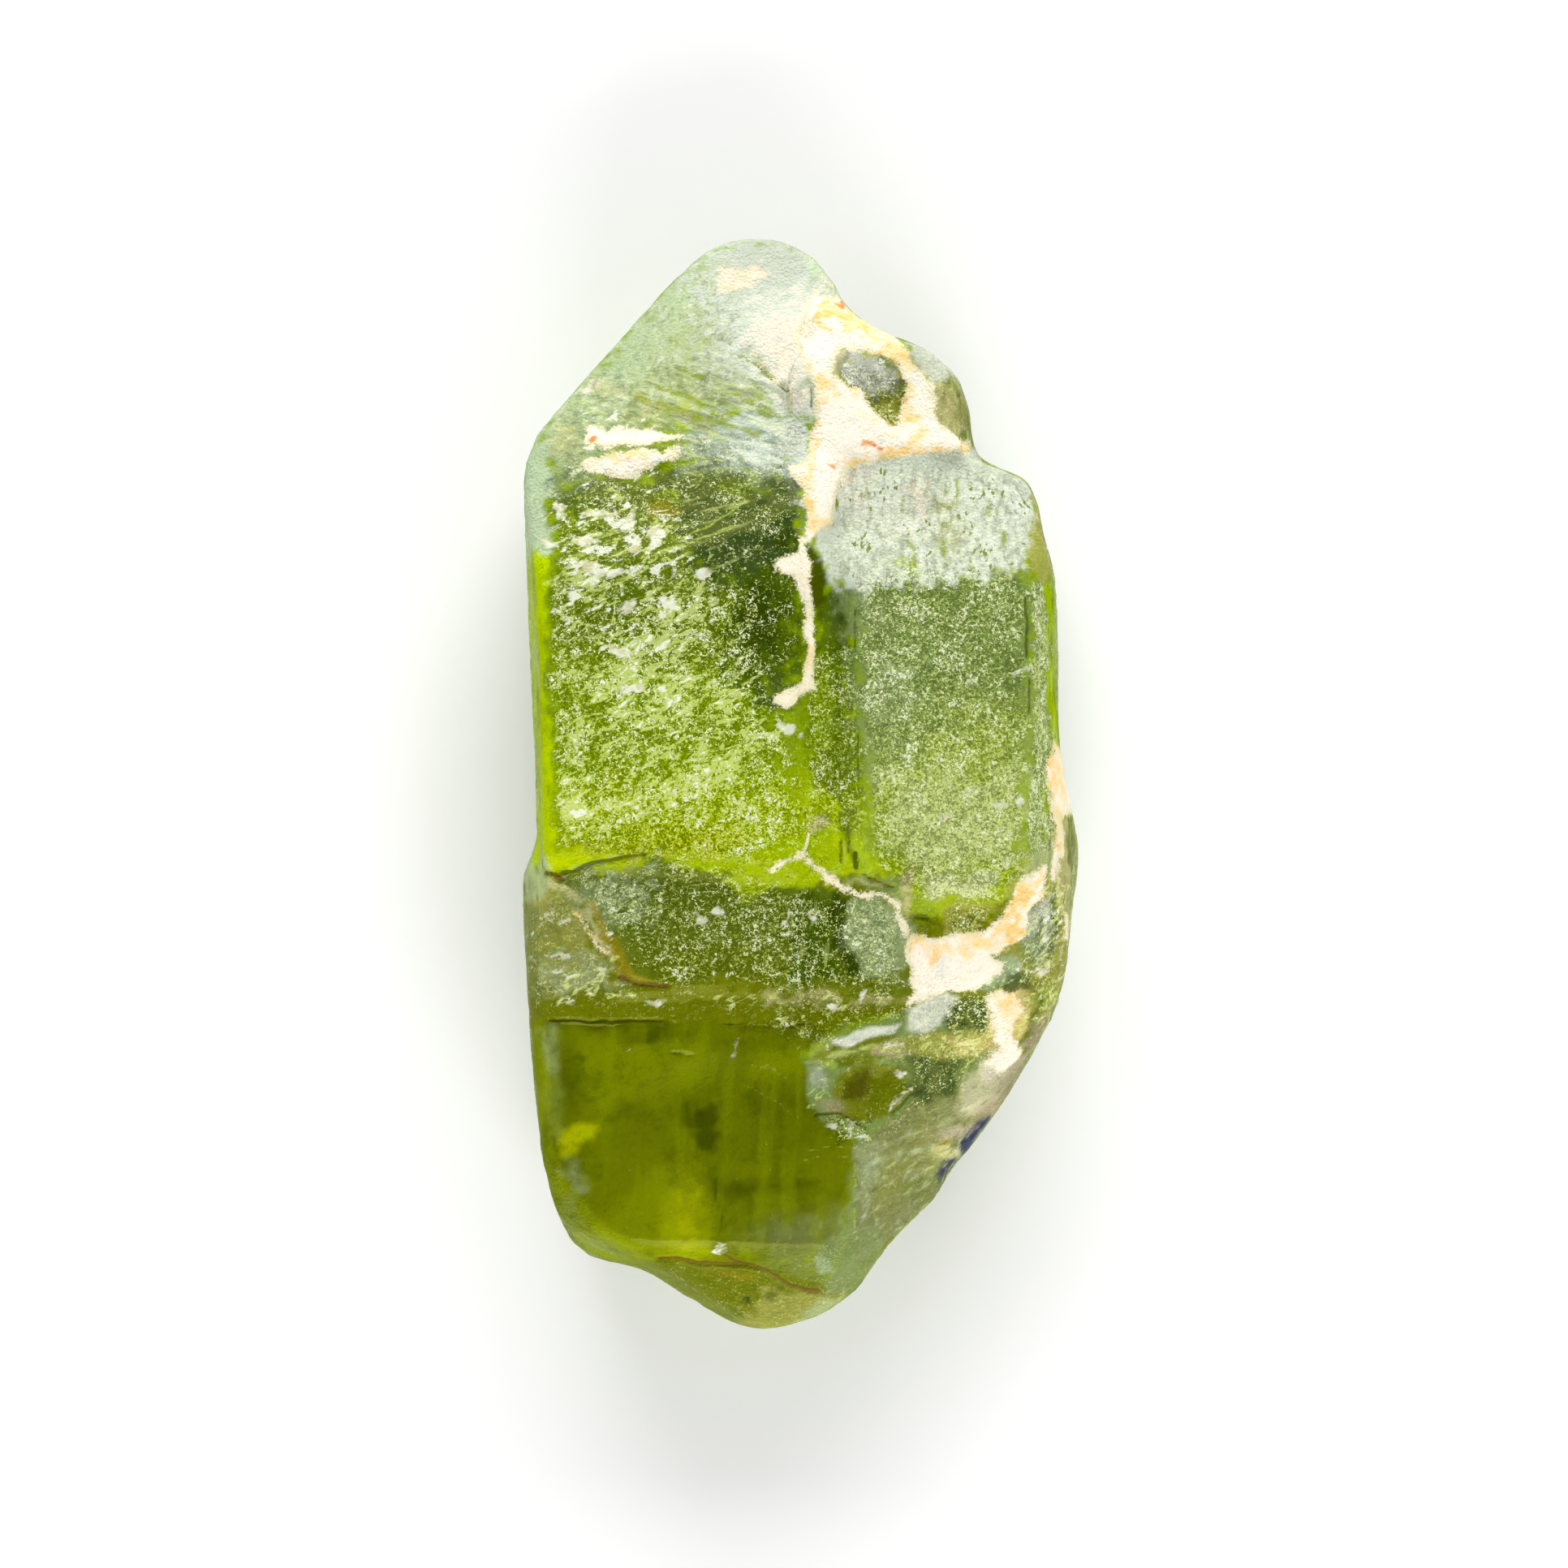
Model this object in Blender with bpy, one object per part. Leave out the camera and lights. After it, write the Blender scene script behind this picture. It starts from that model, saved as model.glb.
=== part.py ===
# A raw green crystal lying on its back: several prisms grown together, with pale matrix in their seams.
# Metres, +Z up. X runs across, Y along the crystal to its wedge tip.
# The origin is under the middle, on the base.
from math import cos, radians, sin

import bmesh
import bpy
from mathutils import Vector, noise

mm = 0.001

thickness = 12.4

# How worn the edges are, and how fine the solid's surface is
grain_size = 0.27
edge_wear = 3
surface_share = 0.115
base_allowance = 0.7
cut_tolerance = 1e-6

# The outline seen from above, clockwise from the tip, in millimetres
outline = (
    (-1.5, 18.0), (-0.4, 17.85), (0.5, 17.25), (1.15, 16.35), (2.0, 15.25), (2.75, 14.8), (3.4, 14.65),
    (4.3, 14.15), (5.1, 13.4), (5.5, 12.4), (5.62, 11.2), (5.75, 10.7), (6.3, 10.4), (7.4, 9.95), (7.75, 9.2),
    (7.9, 8.2), (8.25, 7.0), (8.45, 5.7), (8.47, 1.2), (8.6, 0.2), (8.85, -0.8), (9.15, -2.1), (9.1, -3.0),
    (8.9, -4.2), (8.72, -6.1), (8.35, -7.5), (7.5, -9.1), (6.75, -10.4), (5.8, -11.8), (4.8, -12.9),
    (4.5, -13.6), (3.7, -14.3), (2.7, -15.4), (1.9, -16.6), (0.9, -17.4), (-0.7, -17.95), (-1.6, -18.0),
    (-2.4, -17.75), (-3.9, -16.8), (-5.1, -16.0), (-6.9, -15.7), (-7.6, -15.1), (-8.1, -13.9), (-8.5, -12.2),
    (-8.75, -9.6), (-8.95, -6.8), (-9.12, -3.9), (-9.1, -2.9), (-8.65, -2.0), (-8.7, 0.6), (-8.88, 4.9),
    (-9.08, 9.3), (-9.05, 10.4), (-8.6, 11.5), (-6.1, 14.4), (-4.4, 16.4), (-3.3, 17.45), (-2.4, 17.9),
)
outline_belly = 5.4
outline_margin = 1.0
outline_top_taper = 0.55
outline_base_taper = 1.5

# Each prism is a block from its low to its high corner, cut by faces.
# A face has a point on it, the compass direction that it looks to (0 is +X, 90 is +Y)
# and its tilt: 0 looks straight up, 90 is upright, and more than 90 looks down.
main_prism = {
    "low": (-9.6, -4.4, -base_allowance),
    "high": (1.3, 18.6, 12.8),
    "faces": (
        ((-5.0, 3.0, 12.2), 230, 2),  # broad front face
        ((-3.5, 3.0, 12.2), 4, 12),  # front, falling to the central seam
        ((-0.5, 3.0, 11.65), 0, 50),  # side of the central seam
        ((-8.62, 3.0, 12.1), 180, 46),  # left front edge
        ((-8.95, 5.0, 8.0), 183, 87),  # left side
        ((-9.0, 5.0, 4.6), 181, 112),  # left side, its lower half
        ((-4.0, 7.4, 12.2), 94, 35),  # roof of the tip
        ((-6.0, 11.6, 9.2), 116, 43),  # roof, turned to the left
        ((-7.6, 12.6, 8.0), 139, 70),  # left slope of the tip
        ((-6.6, 13.8, 4.6), 138, 100),
        ((1.2, 16.3, 5.4), 36, 72),  # right slope of the tip
        ((-1.5, 17.9, 5.4), 90, 80),  # blunt end of the tip
        ((-4.0, -2.75, 11.4), 268, 64),  # end of the front face, the long ledge
        ((-2.0, 17.2, 2.6), 93, 134),  # underside of the tip
        ((-5.8, 12.2, 1.3), 132, 132),
        ((-7.4, 4.0, 0.0), 180, 128),  # underside of the left edge
        ((-0.4, 4.0, 0.0), 4, 132),  # underside of the central seam
        ((-3.0, -3.6, 0.0), 258, 134),
    ),
}
side_prism = {
    "low": (-0.6, -6.0, -base_allowance),
    "high": (9.0, 11.0, 12.0),
    "faces": (
        ((4.6, 1.0, 11.6), 350, 2),  # front face
        ((1.85, 1.0, 11.65), 180, 26),  # side of the central seam
        ((4.6, 6.7, 11.55), 88, 36),  # roof
        ((7.5, 1.0, 11.5), 0, 62),  # right front edge
        ((8.45, 3.0, 6.4), 0, 87),  # right side
        ((7.8, 9.0, 8.9), 40, 60),  # right corner of the roof
        ((5.0, 10.7, 7.0), 88, 82),  # upper end
        ((5.0, -3.3, 11.5), 272, 32),  # rounded lower end
        ((5.2, -4.5, 10.7), 268, 62),
        ((7.0, -3.6, 11.0), 318, 48),
        ((2.4, -3.2, 11.3), 222, 40),
        ((8.4, 3.0, 4.4), 0, 118),  # underside of the right edge
        ((6.3, 2.0, 0.6), 4, 152),
        ((1.2, 2.0, 0.0), 175, 138),  # underside of the central seam
        ((5.0, 9.4, 1.6), 84, 140),  # underside of the roof
        ((4.0, -3.6, 0.4), 282, 142),
    ),
}
small_prism = {
    "low": (0.3, 7.0, 1.6),
    "high": (6.2, 15.6, 10.4),
    "faces": (
        ((3.0, 12.4, 9.0), 70, 19),  # front face
        ((3.8, 13.8, 8.4), 62, 46),  # upper edge
        ((5.1, 12.0, 8.4), 6, 50),  # right edge
        ((5.0, 13.7, 7.0), 42, 72),  # corner
        ((5.7, 12.0, 6.0), 2, 86),  # right side
        ((2.4, 15.1, 6.0), 66, 80),  # upper side
        ((0.5, 14.0, 8.6), 172, 72),  # step up from the roof of the tip
        ((3.0, 14.2, 3.0), 72, 128),  # underside
        ((5.0, 12.0, 3.0), 10, 124),
    ),
}
shelf_prism = {
    "low": (-9.4, -8.4, 0.9),
    "high": (4.4, -0.6, 12.2),
    "faces": (
        ((-3.0, -2.7, 11.15), 276, 11),  # frosted shelf under the long ledge
        ((-6.7, -4.6, 10.8), 216, 33),  # left of the slanting seam
        ((-3.0, -6.7, 10.35), 271, 50),  # lower edge of the shelf
        ((-8.75, -4.0, 9.2), 184, 64),  # left front edge
        ((3.6, -5.0, 10.4), 340, 38),  # right edge
        ((-9.05, -4.0, 4.4), 182, 112),  # left side, its lower half
        ((-8.2, -4.0, 1.8), 182, 138),
    ),
}
broken_prism = {
    "low": (-9.3, -18.6, -base_allowance),
    "high": (4.6, -4.9, 10.6),
    "faces": (
        ((-4.0, -7.0, 10.05), 262, 5),  # glassy broken face
        ((-8.2, -11.0, 9.6), 186, 52),  # left front edge
        ((-8.8, -10.0, 4.4), 186, 104),  # left side, its lower half
        ((-7.1, -14.3, 8.9), 219, 52),  # left lower corner
        ((-2.6, -15.3, 9.1), 268, 44),  # face of the lower tip
        ((1.75, -13.0, 9.35), 337, 41),  # right slope, with a sharp edge
        ((1.6, -16.4, 7.2), 312, 64),  # right side of the lower tip
        ((-5.0, -16.3, 6.0), 244, 76),  # left side of the lower tip
        ((-2.0, -17.4, 3.6), 272, 130),  # underside of the lower tip
        ((-1.0, -13.8, 0.4), 276, 154),
        ((-7.5, -11.0, 0.4), 190, 132),  # underside of the left edge
        ((-5.6, -13.6, 0.8), 226, 140),
        ((-3.0, -5.2, 0.0), 84, 140),
        ((1.4, -10.0, 0.3), 340, 148),
    ),
}
flank_prism = {
    "low": (0.2, -15.0, 0.7),
    "high": (9.5, 1.6, 11.2),
    "faces": (
        ((4.6, -5.4, 10.55), 292, 12),  # floor of the pale patch
        ((5.2, -8.4, 9.6), 305, 36),  # rough lower slope
        ((7.6, -6.0, 9.2), 336, 54),  # right lower edge
        ((8.75, -2.4, 8.8), 4, 60),  # right bulge
        ((9.12, -2.6, 6.0), 356, 85),  # right side
        ((6.7, -10.3, 6.5), 322, 73),  # lower right side
        ((8.9, -3.0, 4.2), 352, 116),  # undersides
        ((7.0, -5.0, 1.5), 340, 146),
        ((6.0, -11.0, 3.2), 322, 122),
        ((3.6, -10.0, 1.0), 318, 158),
        ((8.6, 0.6, 8.6), 55, 64),  # upper end of the bulge
        ((8.0, 1.1, 5.0), 66, 96),
    ),
}

# Hollows: shell-shaped breaks, by centre, half-size, and the direction that each opens to
hollows = (
    ((-3.7, -11.2, 13.15), (6.2, 5.6, 4.0), 262, 5),  # the glassy broken face
    ((2.55, -9.9, 10.1), (1.15, 1.3, 0.85), 322, 24),  # dark pocket beside the sharp edge
    ((0.75, -9.7, 10.25), (0.75, 1.35, 0.6), 200, 10),  # milky chip beside the pocket
    ((6.4, -11.6, 7.6), (2.2, 1.6, 1.1), 322, 60),
    ((7.6, 3.6, 0.4), (2.3, 2.7, 1.3), 20, 150),  # breaks of the back
    ((-8.2, 7.6, 0.6), (2.4, 2.3, 1.5), 160, 150),
    ((-7.2, -13.6, 0.8), (2.6, 1.7, 1.2), 215, 140),
    ((3.2, 12.6, 1.2), (2.5, 1.9, 1.0), 80, 160),
)

# Pale matrix in the seams: lumps by centre, half-size, and the face direction that each lies along
matrix_lumps = (
    ((-0.4, 14.6, 7.1), (2.3, 1.8, 0.42), 93, 35),
    ((0.9, 12.9, 8.95), (1.5, 1.7, 0.62), 62, 24),
    ((2.7, 13.9, 8.45), (1.9, 0.85, 0.45), 66, 32),
    ((1.5, 11.3, 9.4), (1.5, 1.1, 0.62), 78, 16),
    ((3.8, 10.95, 9.15), (1.8, 0.55, 0.42), 80, 12),
    ((4.65, 12.3, 8.65), (0.65, 1.4, 0.4), 16, 30),
    ((0.45, 9.4, 10.55), (0.75, 1.5, 0.6), 92, 26),
    ((0.25, 7.0, 11.2), (0.42, 1.6, 0.5), 90, 4),
    ((0.4, 4.5, 11.05), (0.38, 1.6, 0.5), 90, 0),
    ((-0.5, 2.5, 11.6), (0.75, 0.75, 0.26), 4, 13),
    ((-5.4, 10.7, 9.85), (1.7, 0.75, 0.26), 96, 36),
    ((5.1, -5.5, 10.45), (1.5, 1.35, 0.45), 290, 10),
    ((7.2, -4.1, 9.9), (0.9, 1.6, 0.45), 345, 34),
    ((8.3, 0.2, 9.5), (0.4, 2.5, 0.4), 0, 52),
    ((6.9, -8.0, 8.5), (1.5, 1.3, 0.42), 318, 42),
    ((0.6, 1.5, 0.75), (0.7, 4.6, 0.55), 90, 180),
    ((-3.6, -4.5, 0.9), (3.0, 0.8, 0.5), 90, 180),
    ((5.6, 4.4, 0.9), (1.3, 1.5, 0.45), 40, 160),
)
lump_roughness = 0.14
lump_grain = 1.7
lump_fineness = 3


def direction(compass, tilt):
    """The unit vector that looks to a compass direction, tilted away from straight up."""
    a, t = radians(compass), radians(tilt)
    return Vector((cos(a) * sin(t), sin(a) * sin(t), cos(t)))


def clear_scene():
    for obj in list(bpy.data.objects):
        bpy.data.objects.remove(obj, do_unlink=True)


def add_object(name, bm):
    bmesh.ops.recalc_face_normals(bm, faces=bm.faces[:])
    mesh = bpy.data.meshes.new(name)
    bm.to_mesh(mesh)
    bm.free()
    obj = bpy.data.objects.new(name, mesh)
    bpy.context.scene.collection.objects.link(obj)
    return obj


def cut_prism(name, shape):
    """A block cut down to its crystal faces."""
    low, high = Vector(shape["low"]) * mm, Vector(shape["high"]) * mm
    bm = bmesh.new()
    bmesh.ops.create_cube(bm, size=1.0)
    bmesh.ops.scale(bm, verts=bm.verts, vec=high - low)
    bmesh.ops.translate(bm, verts=bm.verts, vec=(low + high) / 2)
    for point, compass, tilt in shape["faces"]:
        cut = bmesh.ops.bisect_plane(
            bm,
            geom=bm.verts[:] + bm.edges[:] + bm.faces[:],
            dist=cut_tolerance * mm,
            plane_co=Vector(point) * mm,
            plane_no=direction(compass, tilt),
            clear_outer=True,
        )
        rim = [item for item in cut["geom_cut"] if isinstance(item, bmesh.types.BMEdge)]
        if rim:
            bmesh.ops.contextual_create(bm, geom=rim)
    return add_object(name, bm)


def outline_block():
    """The outline drawn up and down from its widest height, a little narrower at the top and the base."""
    bm = bmesh.new()
    corners = [bm.verts.new((x * mm, y * mm, outline_belly * mm)) for x, y in outline]
    top = bm.faces.new(corners)
    bmesh.ops.recalc_face_normals(bm, faces=[top])
    if top.normal.z < 0:
        bmesh.ops.reverse_faces(bm, faces=[top])
    lower = bmesh.ops.extrude_face_region(bm, geom=[top])
    base = next(item for item in lower["geom"] if isinstance(item, bmesh.types.BMFace))
    for face, rise, taper in (
        (top, thickness + outline_margin - outline_belly, outline_top_taper),
        (base, -outline_belly - outline_margin, outline_base_taper),
    ):
        bmesh.ops.translate(bm, verts=face.verts[:], vec=(0, 0, rise * mm / 2))
        bmesh.ops.inset_region(bm, faces=[face], thickness=taper * mm, use_even_offset=True)
        bmesh.ops.translate(bm, verts=face.verts[:], vec=(0, 0, rise * mm / 2))
    return add_object("outline_block", bm)


def rough_lump(name, centre, half_size, compass, tilt):
    """A rough, flattened ball, lying along a face."""
    bm = bmesh.new()
    bmesh.ops.create_icosphere(bm, subdivisions=lump_fineness, radius=1.0)
    for vert in bm.verts:
        place = vert.co * lump_grain + Vector(centre)
        vert.co *= 1.0 + lump_roughness * noise.noise(place)
        vert.co = Vector(a * b for a, b in zip(vert.co, half_size)) * mm
    lean = Vector((0, 0, 1)).rotation_difference(direction(compass, tilt))
    bmesh.ops.rotate(bm, verts=bm.verts, matrix=lean.to_matrix())
    bmesh.ops.translate(bm, verts=bm.verts, vec=Vector(centre) * mm)
    return add_object(name, bm)


def combine(target, other, operation):
    """Applies a Boolean of the two closed solids to the target, and removes the other."""
    step = target.modifiers.new(operation.lower(), "BOOLEAN")
    step.operation = operation
    step.solver = "EXACT"
    step.object = other
    apply_modifiers(target)
    bpy.data.objects.remove(other, do_unlink=True)


def apply_modifiers(obj):
    bpy.context.view_layer.update()
    graph = bpy.context.evaluated_depsgraph_get()
    mesh = bpy.data.meshes.new_from_object(obj.evaluated_get(graph))
    obj.modifiers.clear()
    obj.data = mesh


def wear(obj):
    """Rounds the edges as weathering does, and thins the mesh where the faces are flat."""
    remesh = obj.modifiers.new("wear", "REMESH")
    remesh.mode = "VOXEL"
    remesh.voxel_size = grain_size * mm
    smooth = obj.modifiers.new("soften", "SMOOTH")
    smooth.iterations = edge_wear
    thin = obj.modifiers.new("thin", "DECIMATE")
    thin.ratio = surface_share
    apply_modifiers(obj)


def cut_base(obj):
    """Cuts the lowest facet flat at Z = 0, where the crystal rests."""
    bm = bmesh.new()
    bm.from_mesh(obj.data)
    cut = bmesh.ops.bisect_plane(
        bm,
        geom=bm.verts[:] + bm.edges[:] + bm.faces[:],
        dist=cut_tolerance * mm,
        plane_co=(0, 0, 0),
        plane_no=(0, 0, -1),
        clear_outer=True,
    )
    rim = [item for item in cut["geom_cut"] if isinstance(item, bmesh.types.BMEdge)]
    bmesh.ops.holes_fill(bm, edges=rim)
    bmesh.ops.triangulate(bm, faces=bm.faces[:])
    bm.to_mesh(obj.data)
    bm.free()


def crystal_material():
    material = bpy.data.materials.new("green crystal")
    material.use_nodes = True
    shader = material.node_tree.nodes["Principled BSDF"]
    shader.inputs["Base Color"].default_value = (0.33, 0.45, 0.03, 1.0)
    shader.inputs["Roughness"].default_value = 0.35
    shader.inputs["Metallic"].default_value = 0.0
    return material


def build_crystal():
    crystal = cut_prism("crystal", main_prism)
    for name, shape in (
        ("side_prism", side_prism),
        ("small_prism", small_prism),
        ("shelf_prism", shelf_prism),
        ("broken_prism", broken_prism),
        ("flank_prism", flank_prism),
    ):
        combine(crystal, cut_prism(name, shape), "UNION")
    for number, hollow in enumerate(hollows):
        combine(crystal, rough_lump(f"hollow_{number}", *hollow), "DIFFERENCE")
    for number, lump in enumerate(matrix_lumps):
        combine(crystal, rough_lump(f"lump_{number}", *lump), "UNION")
    combine(crystal, outline_block(), "INTERSECT")
    wear(crystal)
    cut_base(crystal)
    crystal.data.materials.clear()
    crystal.data.materials.append(crystal_material())
    return crystal


clear_scene()
build_crystal()
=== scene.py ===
import math

import bmesh
import bpy
import numpy as np
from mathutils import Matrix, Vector, noise


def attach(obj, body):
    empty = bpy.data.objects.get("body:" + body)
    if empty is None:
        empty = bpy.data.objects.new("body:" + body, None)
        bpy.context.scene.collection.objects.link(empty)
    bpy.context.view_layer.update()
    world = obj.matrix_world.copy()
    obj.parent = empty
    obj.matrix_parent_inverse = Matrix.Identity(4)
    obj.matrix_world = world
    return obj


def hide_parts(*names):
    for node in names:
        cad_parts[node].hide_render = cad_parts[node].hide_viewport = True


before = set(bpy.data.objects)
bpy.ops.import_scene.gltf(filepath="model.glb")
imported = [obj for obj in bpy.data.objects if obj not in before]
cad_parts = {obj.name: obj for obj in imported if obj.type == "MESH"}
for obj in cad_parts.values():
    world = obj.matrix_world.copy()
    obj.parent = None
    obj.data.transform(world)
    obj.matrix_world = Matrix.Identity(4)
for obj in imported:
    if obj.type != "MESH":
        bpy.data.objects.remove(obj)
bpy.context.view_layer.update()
mm = 0.001
print("frame loaded")

# How finely the crystal's surface is made, and how deep its relief is. Lengths are in millimetres.
# A relief is its grain size and its depth.
crystal = {
    "voxel": 0.216,
    "softening": 2,
    "frontLevel": 0.25,  # faces that look up more than this are made twice as fine
    "undulation": (2.6, 0.035),
    "frostRelief": (0.42, 0.03),
    "matrixRelief": (0.55, 0.045),
    "matrixRise": 0.035,
    "matrixEdge": 0.16,
    "flakeRelief": (0.5, 0.07),
    "chipRise": 0.05,
    "grooveDepth": 0.09,
}


def metres(value):
    return value * mm


# Marks are drawn as seen from above, in millimetres. Each gives the distance inside its rim.
def oval(centre, size, turn=0.0):
    def inside(points):
        a = math.radians(turn)
        dx = points[:, 0] - centre[0]
        dy = points[:, 1] - centre[1]
        u = (dx * math.cos(a) + dy * math.sin(a)) / size[0]
        v = (dy * math.cos(a) - dx * math.sin(a)) / size[1]
        return (1.0 - np.hypot(u, v)) * min(size)
    return inside


def gapTo(points, a, b):
    a, b = np.array(a, float), np.array(b, float)
    along = ((points[:, :2] - a) @ (b - a)) / max((b - a) @ (b - a), 1e-12)
    near = a + np.clip(along, 0.0, 1.0)[:, None] * (b - a)
    return np.hypot(*(points[:, :2] - near).T)


def line(width, *corners):
    def inside(points):
        return width - np.min([gapTo(points, a, b) for a, b in zip(corners, corners[1:])], axis=0)
    return inside


def outline(*corners):
    def inside(points):
        x, y = points[:, 0], points[:, 1]
        within = np.zeros(len(points), bool)
        best = np.full(len(points), 1e9)
        for a, b in zip(corners, corners[1:] + corners[:1]):
            best = np.minimum(best, gapTo(points, a, b))
            if a[1] != b[1]:
                crossing = a[0] + (y - a[1]) * (b[0] - a[0]) / (b[1] - a[1])
                within ^= ((a[1] > y) != (b[1] > y)) & (x < crossing)
        return np.where(within, best, -best)
    return inside


def deepest(points, marks):
    return np.max([mark(points) for mark in marks], axis=0)


def soften(value, low, high):
    t = np.clip((value - low) / (high - low), 0.0, 1.0)
    return t * t * (3.0 - 2.0 * t)


def wander(points, size, seed, octaves=3):
    shift = Vector((seed * 7.31, seed * 3.17, seed * 5.53))
    return np.array([noise.fractal(Vector(p) / size + shift, 0.8, 2.1, octaves) for p in points])


def colour(red, green, blue):
    def linear(level):
        level /= 255
        return level / 12.92 if level <= 0.04045 else ((level + 0.055) / 1.055) ** 2.4
    return (linear(red), linear(green), linear(blue), 1.0)


# Colours of the stone and its matrix. Some are painted light: the bright and yellow limes are glow where light comes
# through the stone, the milk and the mist painted sheen, the stone grey a painted reflection and the shelf green
# painted shadow; the olive and yellow glows are painted light too.
palette = {
    "lime": colour(146, 174, 4),
    "glowingLime": colour(176, 200, 0),
    "glowingYellowLime": colour(184, 198, 0),
    "rimLime": colour(150, 176, 0),
    "moss": colour(112, 134, 14),
    "deepMoss": colour(76, 98, 4),
    "forest": colour(62, 82, 40),
    "darkGreen": colour(46, 64, 0),
    "sage": colour(180, 196, 144),
    "mint": colour(184, 205, 164),
    "pale": colour(212, 217, 196),
    "milkySheen": colour(214, 221, 206),
    "roofSheen": colour(204, 211, 192),
    "blush": colour(234, 222, 200),
    "peach": colour(232, 217, 184),
    "tipGrey": colour(190, 197, 180),
    "warmPale": colour(212, 208, 166),
    "greyBlue": colour(184, 196, 196),
    "reflectionGrey": colour(208, 210, 196),
    "greyGreen": colour(134, 156, 84),
    "frostGreen": colour(136, 154, 92),
    "leaf": colour(180, 200, 78),
    "shelfShadowGreen": colour(106, 122, 26),
    "hazy": colour(126, 138, 66),
    "greySage": colour(134, 139, 84),
    "khaki": colour(172, 172, 80),
    "beige": colour(208, 202, 136),
    "ochre": colour(232, 212, 130),
    "gold": colour(164, 146, 20),
    "clay": colour(172, 158, 128),
    "olive": colour(112, 124, 0),
    "oliveLime": colour(136, 152, 0),
    "darkOlive": colour(66, 76, 0),
    "umber": colour(80, 74, 2),
    "warmOlive": colour(118, 126, 4),
    "oliveGlow": colour(136, 149, 0),
    "yellowGlow": colour(182, 190, 0),
    "sky": colour(222, 234, 224),
    "navy": colour(52, 56, 86),
    "flakeLime": colour(214, 226, 130),
    "flakePale": colour(218, 228, 160),
    "flakeWhite": colour(240, 243, 220),
    "cream": colour(244, 234, 214),
    "chalkGrey": colour(226, 224, 206),
    "apricot": colour(243, 213, 154),
    "tan": colour(236, 188, 100),
    "orange": colour(220, 138, 44),
    "rust": colour(108, 70, 30),
}

# Pale matrix in the seams and on the tip, and the bare window in it
matrixMarks = (
    outline((0.4, 16.1), (1.3, 16.1), (1.95, 15.5), (3.0, 14.9), (3.35, 14.25), (3.5, 13.8), (4.0, 13.4),
            (4.35, 13.0), (4.3, 12.5), (4.45, 12.0), (4.7, 11.6), (5.6, 11.0), (5.5, 10.8),
            (3.85, 10.7), (2.55, 10.6), (1.5, 10.1), (1.05, 9.2), (0.95, 8.5), (0.45, 7.9), (0.1, 7.8),
            (0.15, 8.8), (0.1, 9.4), (-0.1, 9.9), (-0.5, 10.35), (0.15, 10.5), (0.35, 11.2), (0.45, 12.3),
            (0.4, 13.2), (0.1, 13.7), (-0.1, 14.5), (0.0, 15.4)),
    outline((-7.1, 11.65), (-6.1, 11.6), (-4.9, 11.5), (-3.8, 11.4), (-4.3, 11.15), (-5.2, 11.0),
            (-6.4, 11.0), (-7.0, 11.15)),
    outline((-7.3, 10.3), (-6.6, 10.7), (-5.2, 10.85), (-3.9, 10.9), (-4.2, 10.55), (-4.9, 10.25),
            (-5.5, 9.9), (-6.2, 10.0)),
    line(0.17, (0.08, 7.9), (0.1, 6.9), (0.12, 6.2), (0.2, 5.5), (0.22, 5.1)),
    outline((-0.85, 7.15), (-0.4, 7.3), (0.0, 7.6), (0.15, 7.0), (0.05, 6.4), (-0.25, 6.75), (-0.55, 6.8)),
    line(0.07, (-0.9, 6.95), (-0.6, 7.1), (-0.3, 7.15)),
    line(0.17, (0.15, 5.2), (0.32, 4.6), (0.3, 3.9), (0.2, 3.2), (-0.2, 2.9), (-0.65, 2.65)),
    oval((-0.5, 2.75), (0.5, 0.28), 20),
    outline((3.5, -5.0), (4.6, -4.95), (5.8, -4.9), (6.5, -4.45), (6.85, -3.75), (7.2, -3.0), (8.0, -2.7),
            (7.9, -3.7), (7.35, -4.3), (7.25, -5.1), (6.3, -5.6), (6.5, -6.0), (6.1, -6.5), (5.6, -6.8),
            (4.9, -6.75), (3.85, -7.15), (3.45, -7.3), (3.6, -6.8), (3.5, -5.8)),
    line(0.09, (1.0, -3.25), (1.4, -3.45), (1.95, -3.55), (2.8, -3.75), (3.15, -4.15), (3.4, -4.9)),
    line(0.065, (-1.1, -2.83), (-0.4, -2.5), (0.08, -2.25), (0.6, -2.75), (1.0, -3.25)),
    line(0.04, (0.08, -2.25), (0.27, -1.6)),
    outline((8.2, 1.6), (8.5, 0.8), (8.85, -0.3), (8.95, -1.0), (8.5, -1.15), (8.1, -0.9), (8.05, 0.2)),
    line(0.16, (8.35, -1.0), (8.42, -1.6), (8.45, -2.2)),
    line(0.08, (8.3, -2.2), (8.25, -3.0)),
    line(0.08, (8.65, -4.3), (8.75, -5.3)),
    outline((6.1, -7.0), (6.5, -6.75), (7.1, -6.75), (7.25, -7.4), (6.95, -8.2), (7.2, -8.5), (7.15, -9.1),
            (6.5, -9.5), (6.1, -9.3), (6.4, -8.6), (6.2, -7.9)),
    line(0.05, (-7.3, -4.2), (-6.9, -4.8), (-6.4, -5.5)),
)
windowMarks = (
    outline((1.25, 14.15), (1.9, 14.1), (2.65, 13.95), (3.1, 13.55), (3.4, 13.1), (3.35, 12.4), (3.25, 11.85),
            (3.0, 11.65), (2.55, 11.8), (2.3, 12.2), (1.9, 12.9), (1.3, 13.2), (1.0, 13.4), (1.15, 13.8)),
)
backMatrixMarks = (
    oval((0.6, 3.0), (0.7, 5.5), 4),
    oval((-3.6, -4.4), (3.6, 0.8), -6),
    oval((5.2, 6.2), (1.6, 1.1), 30),
    oval((2.8, -9.0), (1.8, 1.2), -30),
    oval((-6.6, 9.6), (1.3, 0.9), 40),
)

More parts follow.
